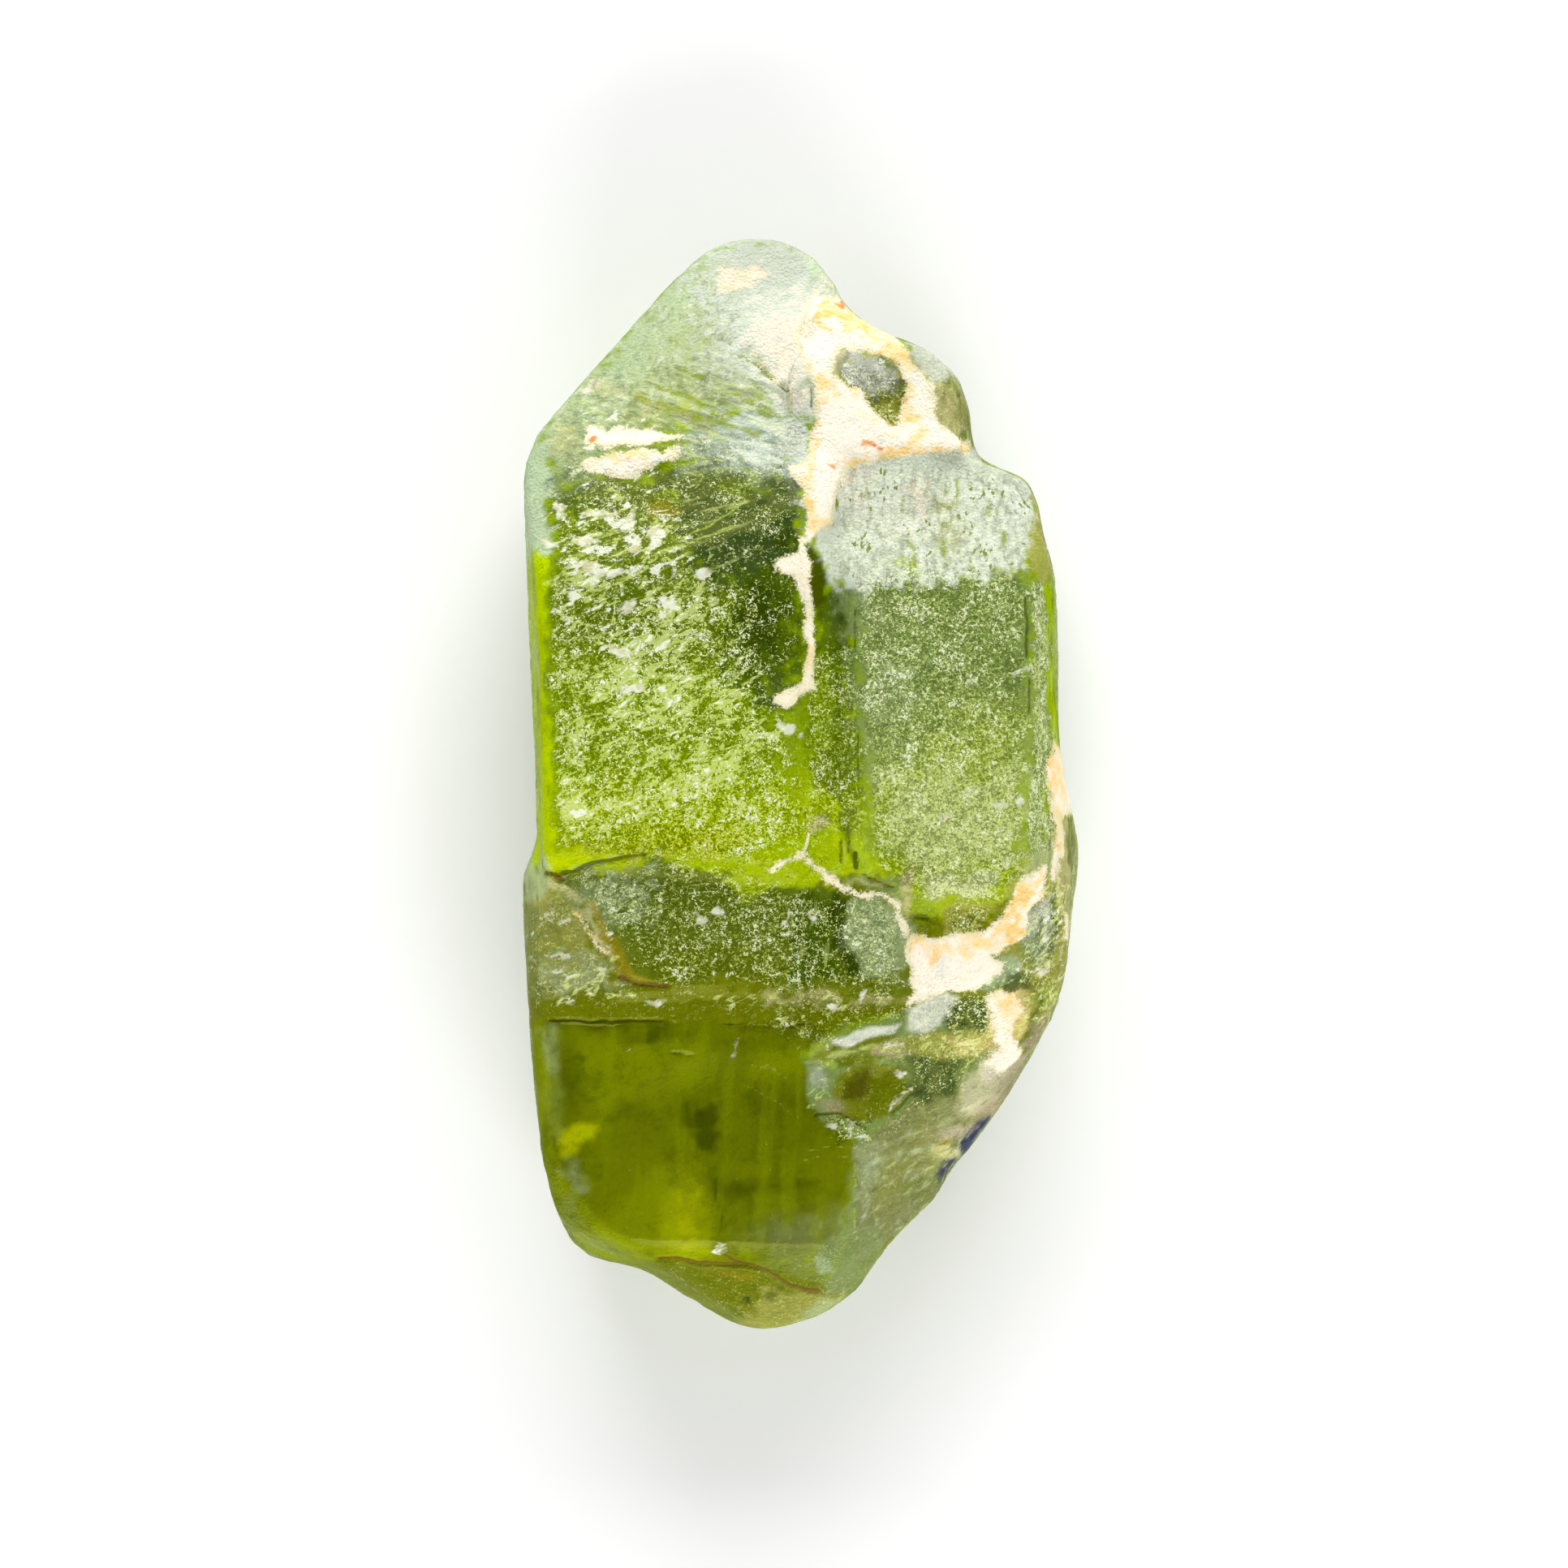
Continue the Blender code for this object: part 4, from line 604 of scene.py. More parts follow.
lowerMarks = (
    ("greyGreen", outline((0.0, -9.0), (1.4, -7.9), (7.4, -6.8), (7.2, -9.0), (5.9, -11.0), (2.2, -12.0),
                          (0.6, -10.9)), 0.2, 0.9),
    ("frostGreen", outline((1.76, -12.2), (2.6, -14.4), (1.8, -16.4), (0.8, -16.8), (1.2, -15.6)), 0.5, 0.6),
    ("mint", outline((0.45, -15.4), (0.95, -15.5), (1.0, -16.0), (0.6, -16.1)), 0.2, 0.7),
    ("greySage", outline((1.75, -11.9), (3.2, -10.9), (4.0, -9.9), (6.4, -10.4), (5.4, -12.2), (4.0, -14.1),
                         (1.9, -15.8)), 0.1, 1.0),
    ("khaki", outline((2.4, -11.9), (5.0, -11.0), (4.6, -12.6), (2.6, -14.0)), 1.2, 0.35),
    ("sage", outline((1.8, -11.9), (2.4, -11.6), (2.5, -13.0), (1.85, -13.6)), 0.4, 0.4),
    ("mint", line(0.06, (1.9, -12.6), (3.0, -12.2), (4.2, -11.9)), 0.2, 0.4),
    ("olive", line(0.05, (2.6, -12.9), (3.6, -12.5), (4.4, -12.4)), 0.2, 0.3),
    ("olive", line(0.06, (2.0, -13.5), (2.9, -13.2), (3.9, -13.1)), 0.2, 0.35),
    ("olive", outline((0.1, -9.0), (1.0, -8.6), (2.2, -8.3), (3.1, -8.1), (3.3, -8.8), (2.0, -9.2), (1.2, -9.3)),
     0.15, 0.9),
    ("lime", line(0.1, (0.1, -8.9), (0.9, -8.35), (1.8, -7.85), (2.9, -7.65)), 0.2, 0.8),
    ("flakeLime", line(0.06, (0.9, -8.95), (1.5, -8.75), (2.3, -8.6)), 0.12, 0.8),
    ("greyGreen", outline((0.05, -9.2), (1.0, -9.0), (1.4, -9.3), (1.2, -9.9), (0.5, -10.7), (0.2, -10.2)), 0.12, 0.9),
    ("leaf", oval((0.95, -9.2), (0.35, 0.14), -20), 0.15, 0.8),
    ("pale", oval((0.5, -9.6), (0.28, 0.42), 20), 0.3, 0.6),
    # Painted highlight: the thin facet that catches the light, white with a milky streak along it
    ("flakeWhite", outline((0.95, -8.45), (1.7, -8.1), (2.5, -7.92), (3.2, -7.9), (3.05, -8.15), (2.2, -8.35),
                    (1.4, -8.6)), 0.12, 1.0),
    ("milkySheen", line(0.04, (1.6, -8.3), (2.3, -8.15), (3.0, -8.1)), 0.12, 0.8),
    ("warmOlive", outline((1.3, -9.4), (2.2, -9.1), (3.3, -9.3), (3.55, -10.0), (2.9, -10.9), (1.9, -11.1),
                          (0.9, -10.7)), 0.2, 0.95),
    ("umber", outline((1.5, -9.7), (2.4, -9.3), (2.5, -9.9), (1.9, -10.4), (1.4, -10.3)), 0.3, 0.9),
    ("olive", outline((2.3, -9.5), (3.3, -9.6), (2.8, -10.7), (2.1, -10.5)), 0.4, 0.8),
    ("clay", oval((1.05, -10.5), (0.42, 0.22), -10), 0.2, 0.6),
    ("forest", outline((3.3, -8.9), (5.2, -8.9), (5.1, -10.2), (3.9, -10.5), (3.5, -10.0)), 0.3, 0.9),
    ("beige", outline((2.4, -8.5), (3.4, -8.2), (3.7, -8.7), (2.9, -8.95), (2.3, -8.8)), 0.2, 0.85),
    ("clay", line(0.07, (2.3, -8.75), (2.9, -8.9), (3.6, -8.8)), 0.15, 0.8),
    ("flakeWhite", outline((3.5, -7.4), (4.2, -6.85), (5.1, -6.9), (4.9, -7.7), (4.1, -8.2), (3.5, -8.1)), 0.3, 1.0),
    ("khaki", outline((3.2, -8.3), (5.4, -7.95), (6.4, -8.2), (6.5, -9.0), (4.6, -9.0), (3.4, -8.7)), 0.3, 0.9),
    ("forest", outline((4.55, -7.7), (5.3, -7.05), (6.1, -7.05), (6.1, -8.0), (4.8, -8.1)), 0.2, 0.95),
    ("ochre", outline((6.1, -6.9), (7.1, -6.6), (7.6, -6.9), (7.5, -7.5), (7.2, -8.4), (6.4, -8.5), (6.1, -8.0)),
     0.2, 1.0),
    ("ochre", outline((4.6, -8.3), (6.4, -8.3), (6.5, -8.7), (5.2, -8.85)), 0.2, 0.85),
    ("warmPale", outline((5.9, -8.9), (6.65, -8.5), (7.2, -8.6), (7.3, -9.2), (6.5, -10.2), (5.6, -10.9),
                         (5.0, -10.8), (5.3, -10.0)), 0.4, 0.85),
    ("blush", outline((6.3, -8.8), (7.1, -8.7), (6.9, -9.3), (6.1, -9.8), (5.9, -9.4)), 0.3, 0.8),
    ("clay", outline((6.4, -9.6), (7.2, -9.2), (6.4, -10.6), (5.6, -11.0)), 0.5, 0.5),
    ("clay", line(0.4, (8.2, -7.7), (7.5, -9.2), (6.5, -10.7), (5.9, -11.4)), 0.5, 0.85),
    ("navy", line(0.5, (6.1, -11.5), (5.5, -12.2), (4.95, -12.95)), 0.3, 1.0),
    ("clay", oval((4.9, -11.5), (0.6, 0.2), 10), 0.3, 0.8),
    ("beige", oval((4.8, -12.1), (0.5, 0.2), -25), 0.2, 0.8),
    ("gold", oval((4.7, -11.75), (0.25, 0.08), 5), 0.1, 0.7),
    ("hazy", oval((3.9, -13.3), (0.8, 0.4), 12), 0.5, 0.5),
    ("beige", outline((8.2, -0.9), (9.3, -1.2), (9.3, -3.6), (8.7, -4.8), (8.2, -3.2)), 0.25, 0.8),
    ("deepMoss", line(0.1, (8.83, -1.2), (8.8, -2.6)), 0.12, 0.8),
    ("moss", line(0.1, (8.98, -1.9), (8.95, -3.2)), 0.15, 0.8),
    ("pale", outline((7.3, -4.2), (8.2, -3.6), (8.3, -5.4), (7.7, -6.0), (7.2, -5.2)), 0.25, 0.8),
    ("deepMoss", line(0.12, (8.2, -3.8), (8.35, -4.6), (8.1, -5.6)), 0.2, 0.8),
    ("forest", line(0.1, (7.9, -4.3), (7.75, -5.1), (7.95, -5.6)), 0.2, 0.7),
    ("greyGreen", oval((7.55, -5.5), (0.4, 0.5)), 0.3, 0.7),
    ("mint", outline((5.7, -5.9), (6.9, -5.6), (7.3, -5.9), (6.9, -6.5), (6.0, -6.8)), 0.2, 0.8),
    ("khaki", outline((7.4, -6.3), (8.8, -5.6), (8.5, -7.4), (7.4, -7.8)), 0.3, 0.8),
    ("leaf", oval((8.0, -6.9), (0.3, 0.5)), 0.3, 0.5),
    ("forest", outline((6.7, -6.2), (7.4, -6.1), (7.5, -6.7), (6.5, -6.95)), 0.15, 0.8),
    ("deepMoss", line(0.08, (7.7, -6.6), (7.9, -7.3), (7.6, -7.7)), 0.15, 0.7),
    ("olive", outline((-5.4, -15.75), (-1.6, -15.85), (0.4, -16.9), (-0.4, -18.2), (-2.8, -18.1)), 0.2, 0.9),
    ("warmOlive", outline((-3.6, -16.2), (-1.6, -16.4), (-0.8, -17.2), (-2.2, -17.8)), 0.8, 0.7),
    ("gold", oval((-2.2, -16.1), (0.7, 0.16), -8), 0.3, 0.5),
    ("khaki", outline((-1.2, -16.6), (1.4, -16.8), (1.8, -17.4), (-0.8, -18.2), (-2.2, -17.9)), 0.5, 0.8),
    ("frostGreen", outline((0.5, -15.0), (2.6, -14.4), (2.8, -15.6), (1.8, -17.0), (0.8, -16.5)), 0.5, 0.6),
    ("sage", oval((0.7, -17.3), (0.7, 0.25), 25), 0.3, 0.6),
    ("darkOlive", oval((-1.83, -16.97), (0.13, 0.13)), 0.1, 0.7),
    ("darkOlive", oval((-1.0, -16.85), (0.24, 0.15), 15), 0.1, 0.6),
    ("darkOlive", oval((-0.67, -16.55), (0.1, 0.1)), 0.1, 0.6),
)
blockFace = outline((-9.4, -7.75), (1.75, -7.9), (0.1, -9.2), (0.3, -10.4), (1.0, -10.9), (1.75, -12.2),
                    (1.78, -14.6), (0.9, -16.6), (-1.0, -15.9), (-2.4, -15.7), (-5.0, -15.7), (-9.4, -15.7))


# How strongly marks cover each point
def cover(points, grit, marks):
    total = np.zeros(len(points))
    for strength, mark, softness in marks:
        inside = mark(points) + grit * min(softness, 1.0)
        total = np.maximum(total, strength * soften(inside, -softness / 2, softness / 2))
    return total


def paint(colours, points, grit, marks, part):
    for name, mark, softness, strength in marks:
        inside = mark(points) + grit * min(softness, 1.0)
        share = strength * part * soften(inside, -softness / 2, softness / 2)
        colours += share[:, None] * (np.array(palette[name][:3]) - colours)


def plainCopy():
    bm = bmesh.new()
    bm.from_mesh(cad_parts["crystal"].data)
    bmesh.ops.remove_doubles(bm, verts=bm.verts, dist=metres(0.002))
    mesh = bpy.data.meshes.new("rawCrystal")
    bm.to_mesh(mesh)
    bm.free()
    piece = bpy.data.objects.new("rawCrystal", mesh)
    bpy.context.scene.collection.objects.link(piece)
    remesh = piece.modifiers.new("evenSurface", "REMESH")
    remesh.mode = "VOXEL"
    remesh.voxel_size = metres(crystal["voxel"])
    smooth = piece.modifiers.new("soften", "SMOOTH")
    smooth.iterations = crystal["softening"]
    bpy.context.view_layer.update()
    graph = bpy.context.evaluated_depsgraph_get()
    piece.data = bpy.data.meshes.new_from_object(piece.evaluated_get(graph))
    piece.modifiers.clear()
    return piece


def refineFront(piece):
    bm = bmesh.new()
    bm.from_mesh(piece.data)
    bm.normal_update()
    front = {v for v in bm.verts if v.normal.z > crystal["frontLevel"]}
    edges = [e for e in bm.edges if e.verts[0] in front and e.verts[1] in front]
    bmesh.ops.subdivide_edges(bm, edges=edges, cuts=1, use_grid_fill=True, smooth=0.0)
    bmesh.ops.triangulate(bm, faces=[f for f in bm.faces if len(f.verts) > 4])
    bm.to_mesh(piece.data)
    bm.free()


def readPoints(mesh):
    points = np.empty(len(mesh.vertices) * 3, np.float32)
    mesh.vertices.foreach_get("co", points)
    normals = np.empty(len(mesh.vertices) * 3, np.float32)
    mesh.vertices.foreach_get("normal", normals)
    return points.reshape(-1, 3).astype(float) / mm, normals.reshape(-1, 3).astype(float)


def keepValues(mesh, name, values):
    layer = mesh.attributes.new(name, "FLOAT", "POINT")
    layer.data.foreach_set("value", np.asarray(values, np.float32))


def keepColours(mesh, name, colours):
    layer = mesh.attributes.new(name, "FLOAT_COLOR", "POINT")
    full = np.ones((len(colours), 4), np.float32)
    full[:, :3] = colours
    layer.data.foreach_set("color", full.ravel())


def shift(points, size, seed, amount):
    across = wander(points, size, seed)
    along = wander(points, size, seed + 40)
    return points + amount * np.column_stack([across, along, np.zeros(len(points))])


def shapeCrystal(piece):
    mesh = piece.data
    points, normals = readPoints(mesh)
    facing = normals[:, 2]
    front = soften(facing, -0.45, 0.0)
    steep = 1 - soften(facing, 0.0, 0.35)
    rough = shift(points, 1.6, 5, 0.35)
    rough[:, 1] += 2.2 * steep * wander(points, 1.5, 23)
    crisp = shift(points, 0.7, 6, 0.16)
    fine = shift(points, 0.7, 6, 0.06)
    grit = 0.9 * wander(points, 0.36, 31, 2)
    behind = soften(wander(points, 3.0, 9), -0.3, 0.5)

    matrix = np.minimum(deepest(crisp, matrixMarks), -deepest(crisp, windowMarks))
    backMatrix = deepest(shift(points, 1.6, 5, 0.8), backMatrixMarks)
    sunk = 0.12 * steep * np.maximum(8.0 - points[:, 2], 0.0) + 0.5 * np.maximum(4.5 - points[:, 2], 0.0)
    matrix = np.where(facing > -0.1, matrix - sunk, backMatrix)
    chip = np.where(facing > 0, deepest(crisp, chipMarks), -1.0)
    hair = np.where(facing > 0, deepest(fine, hairMarks), -1.0)
    slot = np.where(facing > 0, deepest(fine, slotMarks), -1.0)
    streak = np.where(facing > 0, deepest(fine, streakMarks), -1.0)
    rust = np.where(facing > 0, deepest(fine, rustMarks), -1.0)
    orange = np.where(facing > 0, deepest(crisp, orangeMarks), -1.0)

    block = soften(blockFace(crisp), -0.08, 0.08) * soften(facing, -0.1, 0.2)
    glass = block * soften(facing, 0.75, 0.95)
    colours = np.zeros((len(points), 3)) + np.array(palette["lime"][:3])
    whole = np.ones(len(points))
    paint(colours, rough, grit, bodyMarks, whole)
    colours += block[:, None] * (np.array(palette["olive"][:3]) - colours)
    paint(colours, rough, 0.3 * grit, blockMarks, block)
    paint(colours, fine, 0.6 * grit, lowerMarks, 1 - 0.7 * steep)
    hidden = np.array(palette["moss"][:3]) + behind[:, None] * (
        np.array(palette["sage"][:3]) - np.array(palette["moss"][:3]))
    patches = soften(wander(points * (1, 0.5, 1), 1.3, 17), -0.3, 0.3)
    kept = front * (1 - 0.8 * steep * patches)
    colours = kept[:, None] * colours + (1 - kept)[:, None] * hidden

    bare = 1 - cover(rough, grit, bareMarks) * (1 - steep)
    flakes = front * bare * cover(rough, grit, flakeMarks) + (1 - front) * 0.6 * behind
    # Painted sheen over the roofs and slopes, and a little over the sides and underside
    sheenHaze = front * cover(rough, grit, sheenHazeMarks) + (1 - front) * 0.25
    least = 0.25 * (1 - block) * (1 - sheenHaze)
    least = np.maximum(least, 0.7 * steep)
    # Fine frost grain, whose bright specks are painted glints and whose pits are painted shade
    saltSparkle = front * bare * np.maximum(cover(rough, grit, saltSparkleMarks), least) + (1 - front) * 0.7
    lumps = front * bare * cover(rough, grit, lumpMarks)
    slanting = front * cover(rough, grit, slantingMarks)
    upright = np.maximum(front * cover(rough, grit, uprightMarks), steep * 0.5)
    rising = front * cover(rough, grit, risingMarks)
    polish = np.maximum(glass * 0.9, 0.6 * (1 - bare) * front)

    rise = crystal["undulation"][1] * wander(points, crystal["undulation"][0], 1, 2)
    rise += crystal["frostRelief"][1] * wander(points, crystal["frostRelief"][0], 2, 2) * (1 - polish)
    size, depth = crystal["flakeRelief"]
    rise += depth * flakes * np.maximum(wander(points * (1, 1.7, 1), size, 12, 2), -0.3)
    inside = soften(matrix, 0.0, crystal["matrixEdge"])
    size, depth = crystal["matrixRelief"]
    rise += inside * (crystal["matrixRise"] + depth * wander(points, size, 4))
    rise += crystal["chipRise"] * soften(chip, -0.04, 0.08)
    rise -= crystal["grooveDepth"] * np.maximum(soften(slot, -0.08, 0.02), soften(rust, -0.08, 0.02))
    low = soften(points[:, 2], 0.02, 0.5)
    points = points + normals * (rise * low)[:, None]
    mesh.vertices.foreach_set("co", (points * mm).astype(np.float32).ravel())

    stain = cover(crisp, grit, stainMarks)
    for name, values in (("matrix", matrix), ("chip", chip), ("hair", hair), ("slot", slot), ("rust", rust),
                         ("orange", orange), ("streak", streak), ("stain", stain), ("flakes", flakes),
                         ("saltSparkle", saltSparkle), ("lumps", lumps), ("sheenHaze", sheenHaze),
                         ("slanting", slanting), ("upright", upright), ("rising", rising), ("polish", polish),
                         ("block", block), ("glass", glass)):
        keepValues(mesh, name, values)
    keepColours(mesh, "body", colours)
    mesh.update()
    mesh.shade_smooth()


# Shader nodes: a wire is one output socket, and adds up like a number
class Wire:
    def __init__(self, tree, socket=None):
        self.tree = tree
        self.socket = socket

    def node(self, kind, settings, sockets, output=0):
        made = self.tree.nodes.new(kind)
        for name, value in settings.items():
            setattr(made, name, value)
        for name, value in sockets.items():
            if isinstance(value, Wire):
                self.tree.links.new(value.socket, made.inputs[name])
            else:
                made.inputs[name].default_value = value
        return Wire(self.tree, made.outputs[output] if len(made.outputs) else None)

    def maths(self, operation, *values):
        return self.node("ShaderNodeMath", {"operation": operation}, dict(enumerate(values)))

    def __add__(self, other):
        return self.maths("ADD", self, other)

    def __sub__(self, other):
        return self.maths("SUBTRACT", self, other)

    def __mul__(self, other):
        return self.maths("MULTIPLY", self, other)

    def __rsub__(self, other):
        return self.maths("SUBTRACT", other, self)

    __radd__ = __add__
    __rmul__ = __mul__

    def atLeast(self, other):
        return self.maths("MAXIMUM", self, other)

    def between(self, low, high):
        sockets = {"Value": self, "From Min": low, "From Max": high}
        return self.node("ShaderNodeMapRange", {"interpolation_type": "SMOOTHSTEP"}, sockets)

    def blend(self, first, second, factor):
        return self.node("ShaderNodeMix", {"data_type": "RGBA"}, {0: factor, 6: first, 7: second}, 2)

    def kept(self, name, output=2):
        return self.node("ShaderNodeAttribute", {"attribute_name": name}, {}, output)

    def grain(self, place, scale, detail=2.0, roughness=0.5, distortion=0.0, output=0):
        sockets = {"Vector": place, "Scale": scale, "Detail": detail, "Roughness": roughness}
        return self.node("ShaderNodeTexNoise", {}, dict(sockets, Distortion=distortion), output)

    def turned(self, place, angle, stretch):
        sockets = {"Vector": place, "Rotation": (0.0, 0.0, math.radians(angle)), "Scale": stretch}
        return self.node("ShaderNodeMapping", {"vector_type": "TEXTURE"}, sockets)

    def moved(self, place, amount, size):
        push = self.node("ShaderNodeVectorMath", {"operation": "SCALE"},
                         {0: self.grain(place, size, output=1), "Scale": amount})
        return self.node("ShaderNodeVectorMath", {"operation": "ADD"}, {0: place, 1: push})


# The frost's grain sizes are per metre
frost = {
    "patchScale": 800.0,
    "mottleScale": 2200.0,
    "lumpScale": 2700.0,
    "lumpStretch": (1.7, 1.0, 1.0),
    "dashScale": 6500.0,
    "dashStretch": (3.5, 1.0, 1.0),
    "veilScale": 1500.0,
    "veilStretch": (10.0, 1.0, 1.0),
    "flakeScale": 4500.0,
    "flakeTurn": 24,
    "flakeStretch": (2.1, 1.0, 1.3),
    "grainScale": 10000.0,
    "strokeScale": 4600.0,
    "strokeStretch": (7.0, 1.0, 1.0),
}


def crystalMaterial():
    material = bpy.data.materials.new("frostedCrystal")
    material.use_nodes = True
    tree = material.node_tree
    tree.nodes.clear()
    make = Wire(tree)
    place = make.node("ShaderNodeTexCoord", {}, {}, 3)
    matrix, chip, hair, slot = (make.kept(n) for n in ("matrix", "chip", "hair", "slot"))
    rust, orange, stain, streak = (make.kept(n) for n in ("rust", "orange", "stain", "streak"))
    flakes, saltSparkle, sheenHaze, lumps = (make.kept(n) for n in ("flakes", "saltSparkle", "sheenHaze", "lumps"))
    slanting, upright, rising = (make.kept(n) for n in ("slanting", "upright", "rising"))
    polish, block, glass = (make.kept(n) for n in ("polish", "block", "glass"))
    body = make.kept("body", 0)

    patch = make.grain(place, frost["patchScale"])
    grain = make.grain(place, frost["grainScale"], 2.0, 0.6, 1.2)
    slanted = make.turned(place, frost["flakeTurn"], frost["flakeStretch"])
    flake = make.grain(slanted, frost["flakeScale"], 3.0, 0.6, 0.8)
    mottle = make.grain(place, frost["mottleScale"], 2.0, 0.6)
    lump = make.grain(make.turned(place, 15, frost["lumpStretch"]), frost["lumpScale"], 2.0, 0.5, 0.5)
    dash = make.grain(make.turned(place, 80, frost["dashStretch"]), frost["dashScale"])
    veil = make.grain(make.turned(place, 88, frost["veilStretch"]), frost["veilScale"])
    stroke = 0.0
    for amount, angle in ((slanting, -22), (upright, 86), (rising, 20)):
        run = make.turned(place, angle, frost["strokeStretch"])
        stroke = (make.grain(run, frost["strokeScale"], 1.0) - 0.5) * amount + stroke

    # lit and shade are painted lit and shaded copies of the crystal's colour. The gaps between flakes and between
    # lumps and the pits in the salt are painted shade, the bright specks and sparkles painted glints; lit and shade
    # also tint the strokes and mottle the surface.
    lit = make.blend(body, palette["flakeLime"], 0.62)
    shade = make.blend(body, palette["darkGreen"], 0.68)
    crust = flake + flakes * 0.2 + (patch - 0.5) * 0.35
    sparkle = grain + saltSparkle * 0.12 + (patch - 0.5) * 0.2 + (mottle - 0.5) * 0.3
    ball = lump + lumps * 0.1 + (grain - 0.5) * 0.35
    skin = make.blend(body, shade, (flake * 0.6 + patch * 0.5).between(0.5, 0.75) * (0.4 - sheenHaze * 0.35))
    skin = make.blend(skin, shade, (1 - lump).between(0.45, 0.6) * lumps * 0.5)
    skin = make.blend(skin, shade, (1 - sparkle).between(0.36, 0.5) * saltSparkle)
    skin = make.blend(skin, shade, (1 - crust).between(0.34, 0.48) * flakes * 0.75)
    skin = make.blend(skin, shade, stroke.between(0.02, 0.12) * (0.7 - sheenHaze * 0.3))
    skin = make.blend(skin, lit, (0 - stroke).between(0.03, 0.12) * 0.6)
    skin = make.blend(skin, shade, (mottle * 0.5 + patch * 0.5).between(0.48, 0.62) * block * 0.35)
    skin = make.blend(skin, palette["oliveLime"], veil.between(0.5, 0.7) * block * 0.4)
    skin = make.blend(skin, palette["flakeLime"], grain.between(0.73, 0.8) * block * 0.8)
    skin = make.blend(skin, lit, sparkle.between(0.64, 0.7) * saltSparkle)
    # Painted glints: the brightest specks of the salt
    paintedGlint = make.blend(palette["flakeLime"], palette["flakeWhite"], (mottle + flakes * 0.15).between(0.42, 0.56))
    skin = make.blend(skin, paintedGlint, sparkle.between(0.7, 0.76) * saltSparkle)
    skin = make.blend(skin, lit, crust.between(0.62, 0.7) * flakes.between(0.0, 0.4))
    skin = make.blend(skin, palette["flakeWhite"], crust.between(0.73, 0.81) * flakes.between(0.0, 0.4))
    skin = make.blend(skin, palette["flakeWhite"], ball.between(0.64, 0.72) * lumps.between(0.0, 0.5) * 0.85)
    # Painted sheen: the milky veil of reflected light over the roofs, and the dark and pale dashes in it
    skin = make.blend(skin, palette["milkySheen"], (sheenHaze * (0.3 + (patch - 0.5) * 1.6 - stroke * 3.0)).between(0.0, 1.0))
    skin = make.blend(skin, palette["hazy"], (dash + (patch - 0.5) * 1.1).between(0.68, 0.78) * sheenHaze * upright * 2.0)
    skin = make.blend(skin, palette["flakeWhite"], (1 - dash).between(0.6, 0.7) * sheenHaze * 0.4)
    streaked = (streak + (grain - 0.5) * 0.25 + (flake - 0.5) * 0.2).between(-0.04, 0.04)
    skin = make.blend(skin, palette["oliveLime"], streaked * 0.75)
    skin = make.blend(skin, palette["leaf"], (hair + (grain - 0.5) * 0.1).between(-0.03, 0.02) * 0.55)
    skin = make.blend(skin, palette["darkOlive"], (slot + (grain - 0.5) * 0.1).between(-0.03, 0.03) * 0.8)
    skin = make.blend(skin, palette["rust"], (rust + (grain - 0.5) * 0.12).between(-0.05, 0.03) * 0.8)
    chalky = make.blend(palette["flakeWhite"], palette["warmPale"], mottle.between(0.45, 0.65))
    skin = make.blend(skin, chalky, (chip + (flake - 0.5) * 0.45).between(-0.05, 0.06) * 0.85)

    height = make.grain(place, frost["grainScale"], 1.0) * 1.1 + flake * flakes
    bump = make.node("ShaderNodeBump", {}, {"Strength": 0.8, "Distance": 0.0001, "Height": height})
    skinRough = 0.55 - polish * 0.38
    frosted = make.node("ShaderNodeBsdfPrincipled", {}, {
        "Base Color": skin, "Roughness": skinRough, "Normal": bump, "IOR": 1.5,
        "Specular IOR Level": 0.0, "Specular Tint": (1.0, 1.0, 0.4, 1.0),
    })
    clear = make.node("ShaderNodeBsdfPrincipled", {}, {
        "Base Color": (0.95, 0.97, 0.4, 1.0), "Roughness": 0.14, "IOR": 1.67,
        "Transmission Weight": 1.0, "Specular Tint": (1.0, 1.0, 0.2, 1.0),
    })
    cloud = make.grain(place, 520.0, 3.0, 0.55)
    cream = make.blend(palette["cream"], palette["chalkGrey"], make.grain(place, 1500.0, 2.0).between(0.5, 0.7))
    warm = stain + (cloud - 0.5) * 1.2 + (mottle - 0.5)
    cream = make.blend(cream, palette["apricot"], warm.between(0.0, 0.7))
    cream = make.blend(cream, palette["tan"], (warm + (flake - 0.5) * 0.8).between(0.5, 1.0) * 0.9)
    rim = 1 - (matrix + (cloud - 0.5) * 0.6).between(0.0, 0.2)
    cream = make.blend(cream, palette["beige"], rim * 0.45)
    cream = make.blend(cream, palette["orange"], (orange + (grain - 0.5) * 0.1).between(-0.05, 0.04) * 0.9)
    chalk = make.node("ShaderNodeBsdfPrincipled", {}, {
        "Base Color": cream, "Roughness": 0.8, "Normal": bump, "Specular IOR Level": 0.1,
    })
    skinShare = 0.82 + block * 0.1 - glass * 0.24 + flakes * 0.1 + sheenHaze * 0.1 + (polish - glass * 0.9) * 0.3
    stone = make.node("ShaderNodeMixShader", {}, {0: skinShare, 1: clear, 2: frosted})
    matrixShare = (matrix + (grain - 0.5) * 0.35 + (patch - 0.5) * 0.25).between(-0.06, 0.06)
    surface = make.node("ShaderNodeMixShader", {}, {0: matrixShare, 1: stone, 2: chalk})
    volume = make.node("ShaderNodeVolumeAbsorption", {}, {"Color": (0.9, 0.92, 0.0, 1.0), "Density": 300.0})
    make.node("ShaderNodeOutputMaterial", {}, {"Surface": surface, "Volume": volume})
    return material


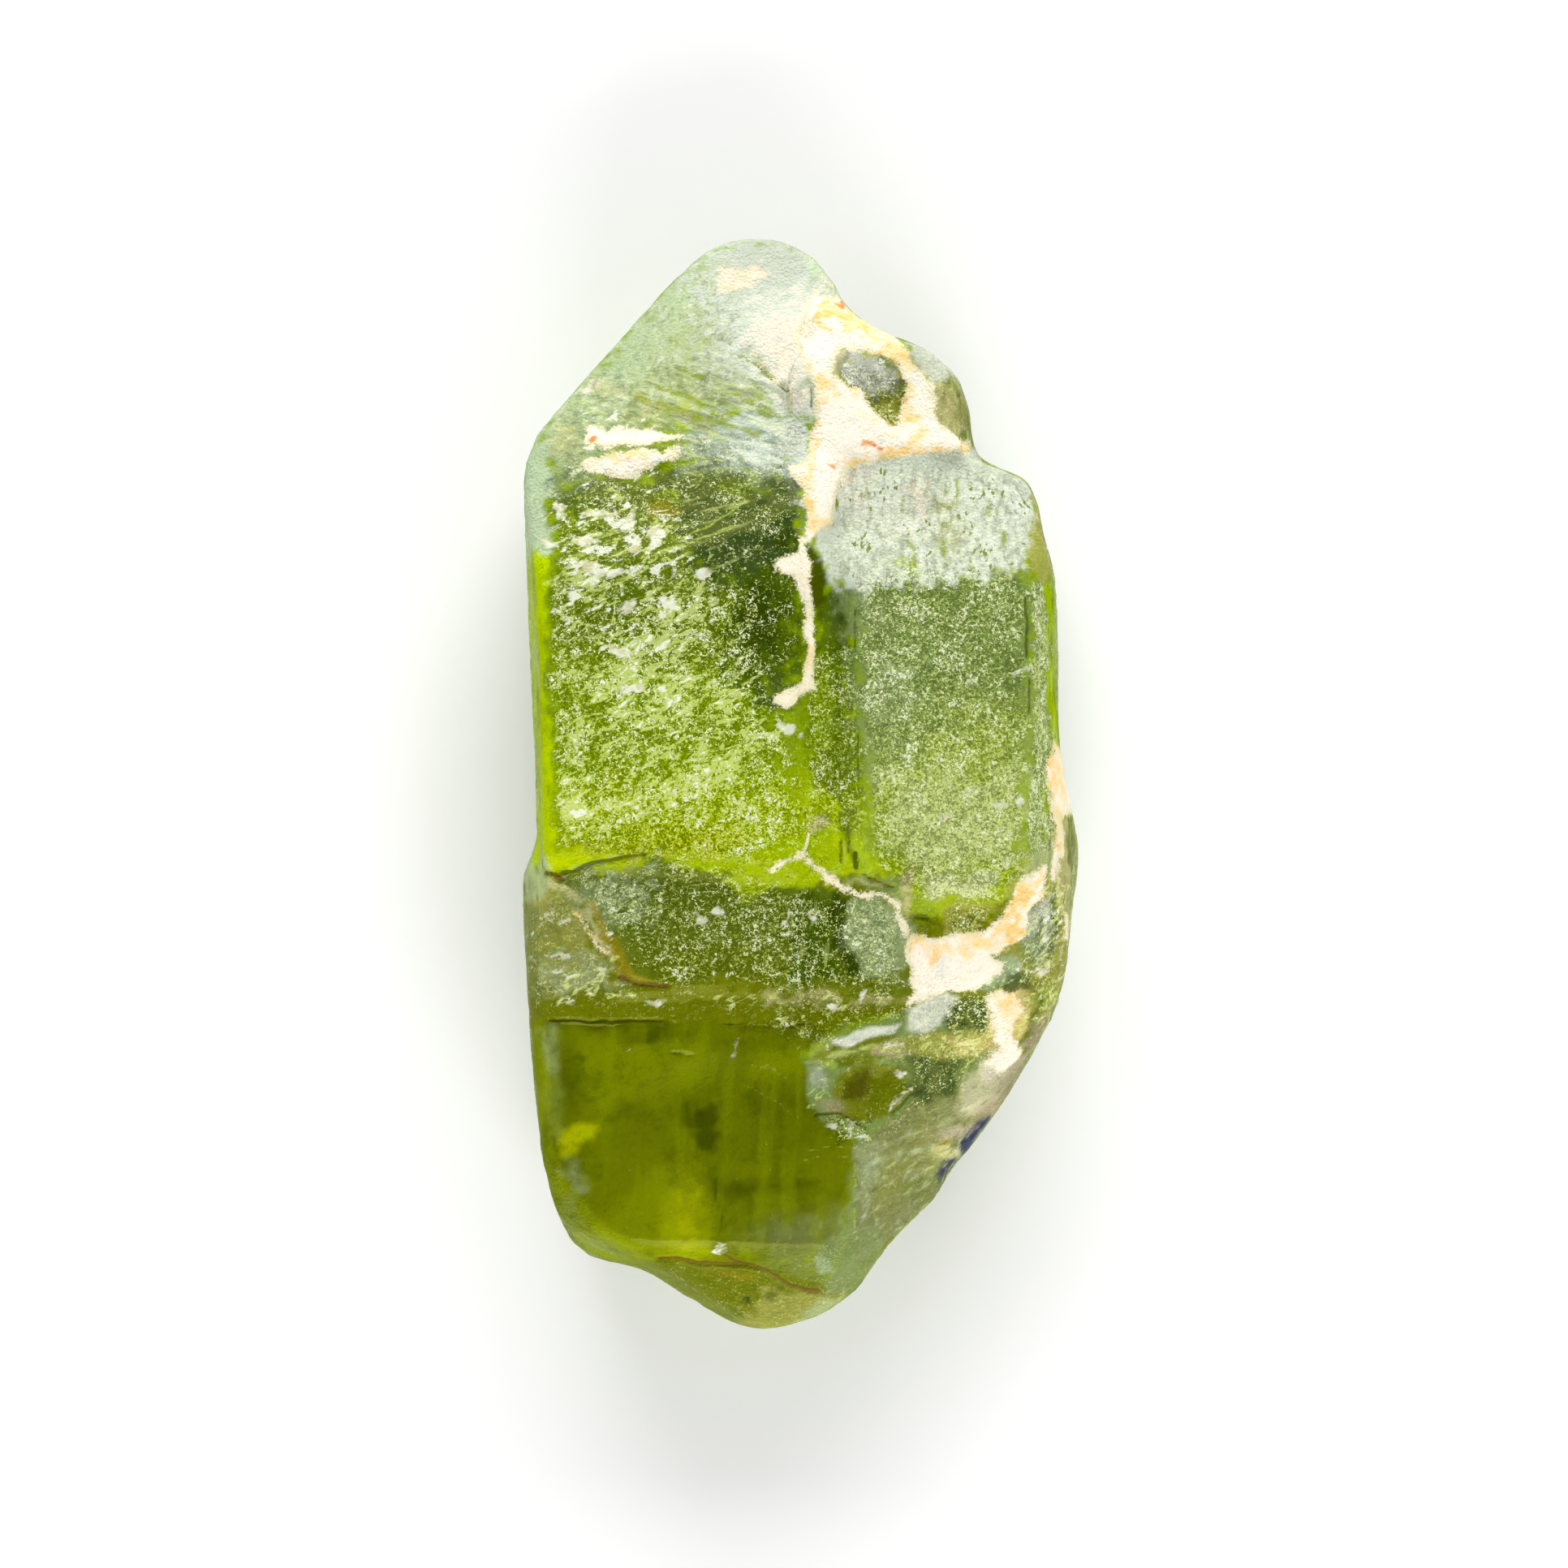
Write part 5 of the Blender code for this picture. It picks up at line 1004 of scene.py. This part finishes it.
def buildCrystal():
    piece = plainCopy()
    refineFront(piece)
    print("crystal", sum(len(f.vertices) - 2 for f in piece.data.polygons), "triangles")
    shapeCrystal(piece)
    piece.data.materials.clear()
    piece.data.materials.append(crystalMaterial())
    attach(piece, "root")
    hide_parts("crystal")
    print("crystal shaped and painted")
    return piece


# The pale floor, the soft lamps and the sky above them
studio = {
    "floorSize": 3.0,
    "floorDrop": 0.00002,
    "keyPower": 1.4,
    "fillPower": 1.02,
    "skyLow": (1.0, 1.0, 1.0, 1.0),
    "skyHigh": (0.16, 0.16, 0.16, 1.0),
    "skyStrength": 1.0,
}


def softbox(name, place, target, size, power):
    light = bpy.data.lights.new(name, "AREA")
    light.shape = "RECTANGLE"
    light.size, light.size_y = size
    light.energy = power
    lamp = bpy.data.objects.new(name, light)
    lamp.location = place
    lamp.rotation_euler = (Vector(target) - Vector(place)).to_track_quat("-Z", "Y").to_euler()
    bpy.context.scene.collection.objects.link(lamp)


def setStudio():
    bm = bmesh.new()
    bmesh.ops.create_grid(bm, x_segments=1, y_segments=1, size=studio["floorSize"] / 2)
    bmesh.ops.translate(bm, verts=bm.verts, vec=(0, 0, -studio["floorDrop"]))
    mesh = bpy.data.meshes.new("floor")
    bm.to_mesh(mesh)
    bm.free()
    floor = bpy.data.objects.new("floor", mesh)
    bpy.context.scene.collection.objects.link(floor)
    material = bpy.data.materials.new("paleFloor")
    material.use_nodes = True
    shader = material.node_tree.nodes["Principled BSDF"]
    shader.inputs["Base Color"].default_value = (0.96, 0.96, 0.96, 1.0)
    shader.inputs["Roughness"].default_value = 0.9
    mesh.materials.append(material)
    softbox("keyLight", (0.0, 0.30, 0.20), (0, 0, 0.005), (0.35, 0.25), studio["keyPower"])
    softbox("fillLight", (0.05, -0.30, 0.16), (0, 0, 0.005), (0.3, 0.2), studio["fillPower"])
    world = bpy.data.worlds.new("softSky")
    bpy.context.scene.world = world
    world.use_nodes = True
    tree = world.node_tree
    tree.nodes.clear()
    make = Wire(tree)
    place = make.node("ShaderNodeTexCoord", {}, {}, 0)
    height = make.node("ShaderNodeSeparateXYZ", {}, {"Vector": place}, 2)
    sky = make.blend(studio["skyLow"], studio["skyHigh"], height.between(0.2, 0.9))
    light = make.node("ShaderNodeBackground", {}, {"Color": sky, "Strength": studio["skyStrength"]})
    make.node("ShaderNodeOutputWorld", {}, {"Surface": light})


# The camera looks straight down on the crystal, as in the photograph
view = {
    "lens": 300.0,
    "sensor": 36.0,
    "frameWidth": 0.051635,
    "centre": (-0.00056, -0.00003),
    "focusHeight": 0.006,
}


def placeCamera():
    data = bpy.data.cameras.new("camera")
    data.lens = view["lens"]
    data.sensor_width = view["sensor"]
    data.clip_start = 0.001
    data.clip_end = 10.0
    away = view["frameWidth"] * view["lens"] / view["sensor"]
    camera = bpy.data.objects.new("camera", data)
    camera.location = (view["centre"][0], view["centre"][1], view["focusHeight"] + away)
    bpy.context.scene.collection.objects.link(camera)
    bpy.context.scene.camera = camera


buildCrystal()
setStudio()
placeCamera()
bpy.context.scene.view_settings.view_transform = "Standard"
print("studio and camera set")
